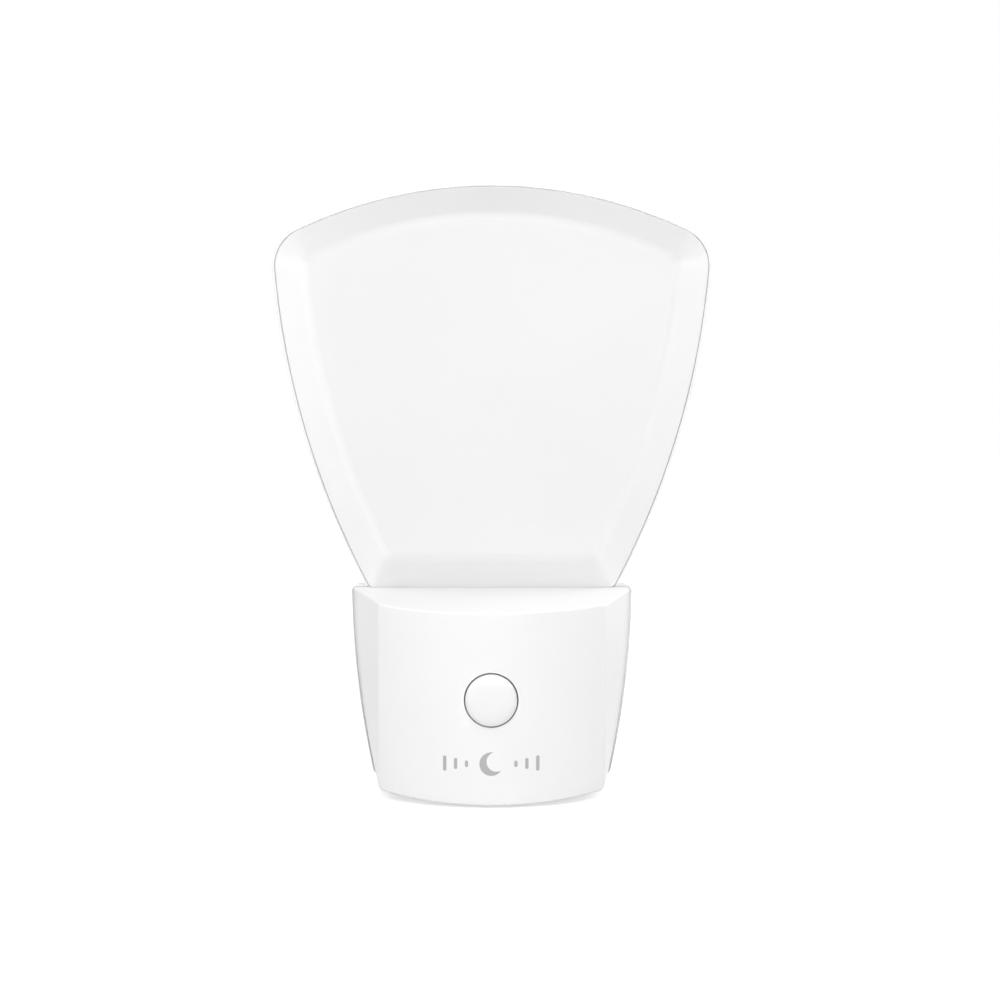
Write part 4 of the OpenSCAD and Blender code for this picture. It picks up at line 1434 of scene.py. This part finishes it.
    def screw_tube(self, bm: BMesh, x: float, z: float) -> tuple[Ring, Ring]:
        """Models a screw pillar with its bore and counterbore.

        Args:
            bm: The shell's mesh.
            x: X of the screw.
            z: Z of the screw.

        Returns:
            The rings where it meets the floor and the back.
        """
        planes = self.planes
        seat = planes.back - self.recess_depth
        steps = (
            (planes.floor, self.pillar_r),
            (planes.parting, self.pillar_r),
            (planes.parting, self.screw_hole_r),
            (seat, self.screw_hole_r),
            (seat, self.recess_r),
            (planes.back, self.recess_r),
        )
        rings = [circle_ring(bm, x, y, z, r) for y, r in steps]
        bridge(bm, rings)
        return rings[0], rings[-1]

    def boss_walls(self, bm: BMesh, root: Ring) -> Ring:
        """Models the hollow plug boss with the two holes that the pins pass through.

        Args:
            bm: The shell's mesh.
            root: The ring where the boss leaves the back.

        Returns:
            The ring where its cavity meets the floor.
        """
        end = self.boss.outline().ring(bm, 0)
        inner_end = self.cavity.outline().ring(bm, -self.plug.end_wall)
        cavity_mouth = self.cavity.outline().ring(bm, self.planes.floor)
        hole_r = self.plug.sleeve_r + self.plug.sleeve_gap
        relief_r = hole_r + self.pin_relief
        steps = (
            (0, relief_r),
            (-self.pin_relief, relief_r),
            (-self.pin_relief, hole_r),
            (-self.plug.end_wall, hole_r),
        )
        outer_holes: list[Ring] = []
        inner_holes: list[Ring] = []
        for side in (-1, 1):
            rings = [circle_ring(bm, side * self.plug.reach(y), y, 0, r) for y, r in steps]
            bridge(bm, rings)
            outer_holes.append(rings[0])
            inner_holes.append(rings[-1])
        bridge(bm, [root, end])
        fill(bm, end, outer_holes)
        fill(bm, inner_end, inner_holes)
        bridge(bm, [inner_end, cavity_mouth])
        soften(bm, end, self.boss_round, segments=4)
        return cavity_mouth

    def add_bulkhead(self, bm: BMesh) -> None:
        """Adds the wall between the light's space and the mains space.

        Args:
            bm: The shell's mesh.
        """
        low, high = self.bulkhead
        depth = self.planes.floor - self.planes.parting
        size = Matrix.Diagonal((self.shape.shade.foot_w, depth, high - low, 1))
        place = Matrix.Translation((0, self.planes.parting + depth / 2, (low + high) / 2))
        bmesh.ops.create_cube(bm, size=1, matrix=place @ size)


@dataclass
class Button:
    """The push button with its return spring, and the switch behind it."""

    mouth_gap: float = 0.2
    dome_height: float = 1.9
    dome_fullness: float = 4.2  # 2 makes an ellipse, and more makes a flatter dome
    rim_depth: float = 0.5  # how far behind the bow the dome's edge lies
    flange_w: float = 1.5
    flange_t: float = 1.0
    hub_r: float = 2.5
    bore_r: float = 1.55
    stem_grip: float = 0.9
    flange_gap: float = 0.1
    dome_steps: int = 24
    sides: int = 72
    travel: float = 1.5
    spring_wire: float = 0.4
    spring_gap: float = 0.25
    spring_seat: float = 0.03
    spring_turns: float = 5.0
    closed_turns: float = 0.75  # at each end
    wire_sides: int = 10
    turn_steps: int = 20

    def build(self, housing: Housing) -> None:
        """Models the button and dresses the switch behind it.

        Args:
            housing: The housing that the button stands in.
        """
        front = housing.shape.bow_at(0)
        radius, edge = housing.mouth_r - self.mouth_gap, front + self.rim_depth
        flange = front + housing.collar_length + self.flange_gap
        hub_end = box_mm("button_cap")[1].y
        dome: list[tuple[float, float]] = []
        for step in range(self.dome_steps + 1):
            share = math.sin(math.radians(90 * step / self.dome_steps))
            rise = (1 - share**self.dome_fullness) ** (1 / self.dome_fullness)
            dome.append((radius * share, edge - self.dome_height * rise))
        profile = [
            *dome,
            (radius, flange),
            (radius + self.flange_w, flange),
            (radius + self.flange_w, flange + self.flange_t),
            (self.hub_r, flange + self.flange_t),
            (self.hub_r, hub_end),
            (self.bore_r, hub_end),
            (self.bore_r, flange - self.stem_grip),
            (0.0, flange - self.stem_grip),
        ]
        make_piece(turned(profile, self.sides), "button", BUTTON_WHITE, "button", ("button_cap",))
        self.add_spring()
        dress(
            {
                "switch_plunger": BLACK_PLASTIC,
                "switch_body": BLACK_PLASTIC,
                "switch_legs": TINNED_WIRE,
            }
        )

    def add_spring(self) -> None:
        """Winds the return spring with closed ends."""
        low, high = box_mm("button_spring")
        front, back = low.y + self.spring_seat, high.y
        length, wire = back - front, self.spring_wire
        bm = bmesh.new()
        start = Matrix.Translation((self.hub_r + self.spring_gap + wire / 2, front + wire / 2, 0))
        bmesh.ops.create_circle(bm, cap_ends=True, radius=wire / 2, segments=self.wire_sides, matrix=start)
        end = bm.verts[:] + bm.edges[:] + bm.faces[:]
        closed = (self.closed_turns, self.closed_turns * wire)
        spread = (self.spring_turns - 2 * closed[0], length - wire - 2 * closed[1])
        for turns, rise in (closed, spread, closed):
            steps = round(turns * self.turn_steps)
            end = bmesh.ops.spin(
                bm,
                geom=end,
                cent=(0, 0, 0),
                axis=(0, -1, 0),
                dvec=(0, rise / steps, 0),
                angle=math.tau * turns,
                steps=steps,
            )["geom_last"]
        spring = make_piece(bm, "spring", SPRING_STEEL, "root", ("button_spring",))
        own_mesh(spring)


@dataclass
class PadPrint:
    """The small grey sign under the button: a crescent between bars that grow outwards."""

    z: float = -11.6
    moon_r: float = 2.15
    bite_r: float = 1.8
    bite_shift: tuple[float, float] = (0.95, 0.4)
    bars: tuple[tuple[float, float], ...] = ((4.5, 1.2), (6.5, 2.0), (8.5, 2.8))  # X and height
    bar_w: float = 0.6
    bar_end: float = 0.49  # rounding of a bar's ends, as a share of its width
    disc_steps: int = 40
    bite_steps: int = 30
    ink: float = 0.02
    sunk: float = 0.03
    strip: float = 0.4  # width of the strips that let the print follow the bow

    def build(self, shape: HousingShape) -> None:
        """Models the print as a thin skin on the bow.

        Args:
            shape: The housing whose bow carries the print.
        """
        bm = bmesh.new()
        self.add_moon(bm)
        for x, height in self.bars:
            for side in (-1, 1):
                ring = Block(self.bar_w, height, self.bar_w * self.bar_end).outline().ring(bm, 0)
                bmesh.ops.translate(bm, verts=verts_of(ring), vec=(side * x, 0, self.z))
                cap(bm, ring)
        bmesh.ops.triangulate(bm, faces=bm.faces[:])
        reach = self.bars[-1][0] + self.bar_w
        for step in range(1, int(2 * reach / self.strip)):
            geom = bm.verts[:] + bm.edges[:] + bm.faces[:]
            cut = self.strip * step - reach
            bmesh.ops.bisect_plane(bm, geom=geom, plane_co=(cut, 0, 0), plane_no=(1, 0, 0))
        raised = bmesh.ops.extrude_face_region(bm, geom=bm.faces[:])["geom"]
        front = [g for g in raised if isinstance(g, BMVert)]
        bmesh.ops.translate(bm, verts=front, vec=(0, -self.ink - self.sunk, 0))
        for v in bm.verts:
            v.co.y += shape.bow_at(v.co.x) + self.sunk
        make_piece(bm, "print", PRINT_GREY, "root")

    def add_moon(self, bm: BMesh) -> None:
        """Draws the crescent from its two arcs and closes it.

        Args:
            bm: The print's mesh.
        """
        disc = Circle(0, self.z, self.moon_r)
        bite = Circle(self.bite_shift[0], self.z + self.bite_shift[1], self.bite_r)
        ax, az = crossing(disc, bite)
        bx, bz = crossing(disc, bite, right=False)
        start, end = disc.heading(ax, az), disc.heading(bx, bz)
        back, home = bite.heading(bx, bz), bite.heading(ax, az)
        known = set(bm.verts)
        tip = bmesh.ops.create_vert(bm, co=(ax, 0, az))["vert"][0]
        tip = Arc(disc, start, end - 360 if end > start else end, self.disc_steps).draw(bm, tip)
        Arc(bite, back, home if home > back else home + 360, self.bite_steps).draw(bm, tip)
        made = [v for v in bm.verts if v not in known]
        bmesh.ops.remove_doubles(bm, verts=made, dist=WELD)
        cap(bm, edges_of([v for v in bm.verts if v not in known]))


class Pole(Enum):
    """The two pins of the plug, as the side of the middle that they stand on."""

    LIVE = 1
    NEUTRAL = -1


@dataclass
class Plug:
    """The two pins with their sleeves, and the plate that holds them."""

    pitch: float = 18.6
    tilt: float = 1.658  # degrees
    length: float = 19.0
    radius: float = 2.0
    shank_r: float = 1.48
    sleeve_r: float = 1.8
    sleeve_length: float = 10.0
    collar_r: float = 2.6
    collar_y: float = -3.1
    collar_t: float = 1.2
    tail_r: float = 1.0
    tail_l: float = 5.0
    end_wall: float = 3.0
    edge_cut: float = 0.15
    tip_steps: int = 10
    sleeve_gap: float = 0.02
    sleeve_round: float = 0.18
    sleeve_round_steps: int = 5

    def build(self) -> None:
        """Models the pins and sleeves, and dresses the rest of the plug."""
        for pole in Pole:
            name = pole.name.lower()
            pin, sleeve = self.placed(self.pin(), pole), self.placed(self.sleeve(), pole)
            make_piece(pin, f"pin_{name}_finish", NICKEL_PLATE, "root", (f"pin_{name}",))
            make_piece(sleeve, f"sleeve_{name}_finish", SLEEVE_GREY, "root", (f"sleeve_{name}",))
        dress({"pin_retainer": RETAINER_PLASTIC, "retainer_screw": SCREW_STEEL})

    def reach(self, y: float) -> float:
        """Distance of a pin's axis from the middle at a depth."""
        return self.pitch / 2 - y * math.tan(math.radians(self.tilt))

    def placed(self, bm: BMesh, pole: Pole) -> BMesh:
        """Leans a turned piece inwards and moves it to its pole.

        Args:
            bm: The piece, turned about the Y axis.
            pole: The pole that it belongs to.

        Returns:
            The same piece.
        """
        lean = Matrix.Rotation(math.radians(self.tilt) * pole.value, 4, "Z")
        place = Matrix.Translation((pole.value * self.pitch / 2, 0, 0)) @ lean
        bmesh.ops.transform(bm, matrix=place, verts=bm.verts[:])
        return bm

    def pin(self) -> BMesh:
        """Turns a pin from its tail to its round tip.

        Returns:
            The mesh.
        """
        collar_back = self.collar_y - self.collar_t
        profile = [
            (0.0, collar_back - self.tail_l),
            (self.tail_r, collar_back - self.tail_l),
            (self.tail_r, collar_back),
            (self.collar_r, collar_back),
            (self.collar_r, self.collar_y),
            (self.shank_r, self.collar_y),
            (self.shank_r, self.sleeve_length),
            (self.radius - self.edge_cut, self.sleeve_length),
            (self.radius, self.sleeve_length + self.edge_cut),
            *quarter_round(0, self.length - self.radius, self.radius, self.tip_steps),
        ]
        return turned(profile)

    def sleeve(self) -> BMesh:
        """Turns an insulating sleeve with a softened front edge.

        Returns:
            The mesh.
        """
        bore, soft = self.shank_r + self.sleeve_gap, self.sleeve_round
        end = self.sleeve_length - self.sleeve_gap
        profile = [
            (bore, -self.end_wall),
            (self.sleeve_r, -self.end_wall),
            *quarter_round(self.sleeve_r - soft, end - soft, soft, self.sleeve_round_steps),
            (bore, end),
            (bore, -self.end_wall),
        ]
        return turned(profile)


@dataclass
class Electronics:
    """What drives the light: the main board, its parts, the board's screws and the leads."""

    body_share: float = 0.62  # how much of a resistor's length its body takes up
    fuse_color: Color = (0.5, 0.36, 0.2, 1)
    bleed_color: Color = (0.08, 0.22, 0.38, 1)
    fuse_bands: tuple[Color, ...] = (BAND_BROWN, BAND_BLACK, BAND_GOLD)
    bleed_bands: tuple[Color, ...] = (BAND_RED, BAND_BLACK, BAND_BROWN)

    def resistor(self, name: str, node: str, color: Color, bands: tuple[Color, ...]) -> Banded:
        """Makes a banded finish that is centred on a resistor's body.

        Args:
            name: The finish's name.
            node: The construction node of the resistor.
            color: Colour of the body.
            bands: Colours of the bands.

        Returns:
            The finish.
        """
        low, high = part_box(node)
        length = (high.x - low.x) * self.body_share
        return Banded(name, color, centre=(low.x + high.x) / 2, length=length, bands=bands)

    def build(self) -> None:
        """Dresses the nodes inside the housing."""
        fuse = self.resistor("resistor_tan", "fuse_resistor", self.fuse_color, self.fuse_bands)
        bleed = self.resistor("resistor_blue", "bleed_resistor", self.bleed_color, self.bleed_bands)
        dress(
            {
                "circuit_board": BOARD_GREEN,
                "dropper_capacitor": FILM_YELLOW,
                "smoothing_capacitor": CAN_BLUE,
                "bridge_rectifier": BLACK_PLASTIC,
                "fuse_resistor": fuse,
                "bleed_resistor": bleed,
                "board_screws": SCREW_STEEL,
                "lead_live": WIRE_BROWN,
                "lead_neutral": WIRE_BLUE,
                "led_leads": WIRE_RED,
            }
        )


# ------------------------------------------------------------------ studio


@dataclass(frozen=True)
class SoftBox:
    """A square lamp that faces the object, by its direction in degrees and its power in watts."""

    name: str
    azimuth: float
    elevation: float
    power: float

    def build(self, centre: Vector, distance: float, size: float) -> None:
        """Adds the lamp.

        Args:
            centre: The point that it faces.
            distance: Its distance from that point.
            size: Its side.
        """
        lamp = bpy.data.lights.new(self.name, "AREA")
        lamp.shape = "SQUARE"
        lamp.size = size
        lamp.energy = self.power
        holder = bpy.data.objects.new(self.name, lamp)
        bpy.context.scene.collection.objects.link(holder)
        turn = Matrix.Rotation(math.radians(self.azimuth), 3, "Z")
        lift = Matrix.Rotation(-math.radians(self.elevation), 3, "X")
        outwards = turn @ lift @ Vector((0, -1, 0))
        holder.location = centre + outwards * distance
        holder.rotation_euler = (-outwards).to_track_quat("-Z", "Y").to_euler()


@dataclass
class Studio:
    """Camera, pale floor, world and lamps."""

    camera_place: tuple[float, float, float] = (0.0016, -0.385, 0.0455)
    camera_pitch: float = 1.55  # degrees below level
    lens: float = 66.5
    clip: tuple[float, float] = (0.01, 50.0)
    floor_size: float = 40.0
    floor_cells: int = 8
    floor_color: float = 0.7
    floor_roughness: float = 0.9
    floor_gloss: float = 0.1
    floor_lift: float = 0.6
    floor_fade: tuple[float, float] = (0.12, 0.4)  # where the floor starts and ends turning white
    centre: tuple[float, float, float] = (0.0, -0.03, 0.03)
    lamp_distance: float = 1.0
    lamp_size: float = 0.6
    lamps: tuple[SoftBox, ...] = (
        SoftBox("left", -35, 0, 0.6),
        SoftBox("left_high", -90, 45, 3.15),
        SoftBox("front_low", 0, 5, 0.85),
        SoftBox("front", 0, 25, 4.95),
        SoftBox("front_high", 0, 55, 3.55),
        SoftBox("right_high", 105, 40, 3.8),
        SoftBox("right_back", 130, 10, 1.4),
        SoftBox("back", 180, 50, 2.5),
    )

    def build(self) -> None:
        """Sets up the whole studio."""
        self.add_camera()
        self.add_floor()
        self.light_world()
        for lamp in self.lamps:
            lamp.build(Vector(self.centre), self.lamp_distance, self.lamp_size)
        bpy.context.scene.view_settings.view_transform = "Standard"
        log.info("studio: %d lamps", len(self.lamps))

    def add_camera(self) -> None:
        """Adds the camera, which looks along +Y and slightly down."""
        data = bpy.data.cameras.new("camera")
        data.lens = self.lens
        data.clip_start, data.clip_end = self.clip
        holder = bpy.data.objects.new("camera", data)
        bpy.context.scene.collection.objects.link(holder)
        holder.location = self.camera_place
        holder.rotation_euler = (math.radians(90 - self.camera_pitch), 0, 0)
        bpy.context.scene.camera = holder

    def seen(self, wires: Wiring) -> Socket:
        """Makes a mask that is 1 for rays from the camera, from gloss and through glass.

        Args:
            wires: The wiring of the material or world that uses it.

        Returns:
            The mask.
        """
        path = wires.node("LightPath").outputs
        direct = wires.math("MAXIMUM", path["Is Camera Ray"], path["Is Glossy Ray"])
        return wires.math("MAXIMUM", direct, path["Is Transmission Ray"])

    def add_floor(self) -> None:
        """Adds the floor just under the object, lifted to white where no shadow lies."""
        bm = bmesh.new()
        cells, low = self.floor_cells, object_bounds()[0].z
        bmesh.ops.create_grid(bm, x_segments=cells, y_segments=cells, size=self.floor_size / 2)
        bmesh.ops.translate(bm, vec=(0, 0, low), verts=bm.verts[:])
        mesh = bpy.data.meshes.new("floor")
        bm.to_mesh(mesh)
        bm.free()
        floor = bpy.data.objects.new("floor", mesh)
        bpy.context.scene.collection.objects.link(floor)
        made = bpy.data.materials.new("floor")
        made.use_nodes = True
        wires = Wiring(made.node_tree)
        surface = {
            "Base Color": tone(self.floor_color),
            "Roughness": self.floor_roughness,
            "Specular IOR Level": self.floor_gloss,
            "Emission Color": tone(1.0),
            "Emission Strength": wires.math("MULTIPLY", self.seen(wires), self.lift(wires)),
        }
        wires.feed(made.node_tree.nodes["Principled BSDF"], surface)
        mesh.materials.append(made)
        floor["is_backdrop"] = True

    def lift(self, wires: Wiring) -> Socket:
        """Makes the floor's glow where it is seen: a little near the object, and white far from it.

        Args:
            wires: The wiring of the floor's material.

        Returns:
            The strength of the glow.
        """
        place = wires.node("TexCoord").outputs["Object"]
        near, far = self.floor_fade
        fade = {
            "Value": wires.node("VectorMath", {0: place}, operation="LENGTH").outputs["Value"],
            "From Min": near,
            "From Max": far,
            "To Min": self.floor_lift,
            "To Max": 1.0,
        }
        return wires.node("MapRange", fade, interpolation_type="SMOOTHSTEP").outputs["Result"]

    def light_world(self) -> None:
        """Makes the world white where it is seen, and dark where it would light the object."""
        world = bpy.data.worlds.new("studio")
        bpy.context.scene.world = world
        world.use_nodes = True
        wires = Wiring(world.node_tree)
        surroundings = {"Color": tone(1.0), "Strength": self.seen(wires)}
        wires.feed(world.node_tree.nodes["Background"], surroundings)


# ------------------------------------------------------------------ main


def main() -> None:
    """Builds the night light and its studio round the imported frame."""
    logging.basicConfig(level=logging.INFO, format="%(message)s")
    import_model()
    planes = Planes.from_frame()
    shape = HousingShape(planes, ShadeShape.from_frame())
    plug = Plug()
    housing = Housing(planes, shape, plug)
    Shade(planes, shape.shade, shape.top_z).build()
    housing.build()
    Button().build(housing)
    PadPrint().build(shape)
    plug.build()
    Electronics().build()
    Studio().build()


if __name__ == "__main__":
    main()
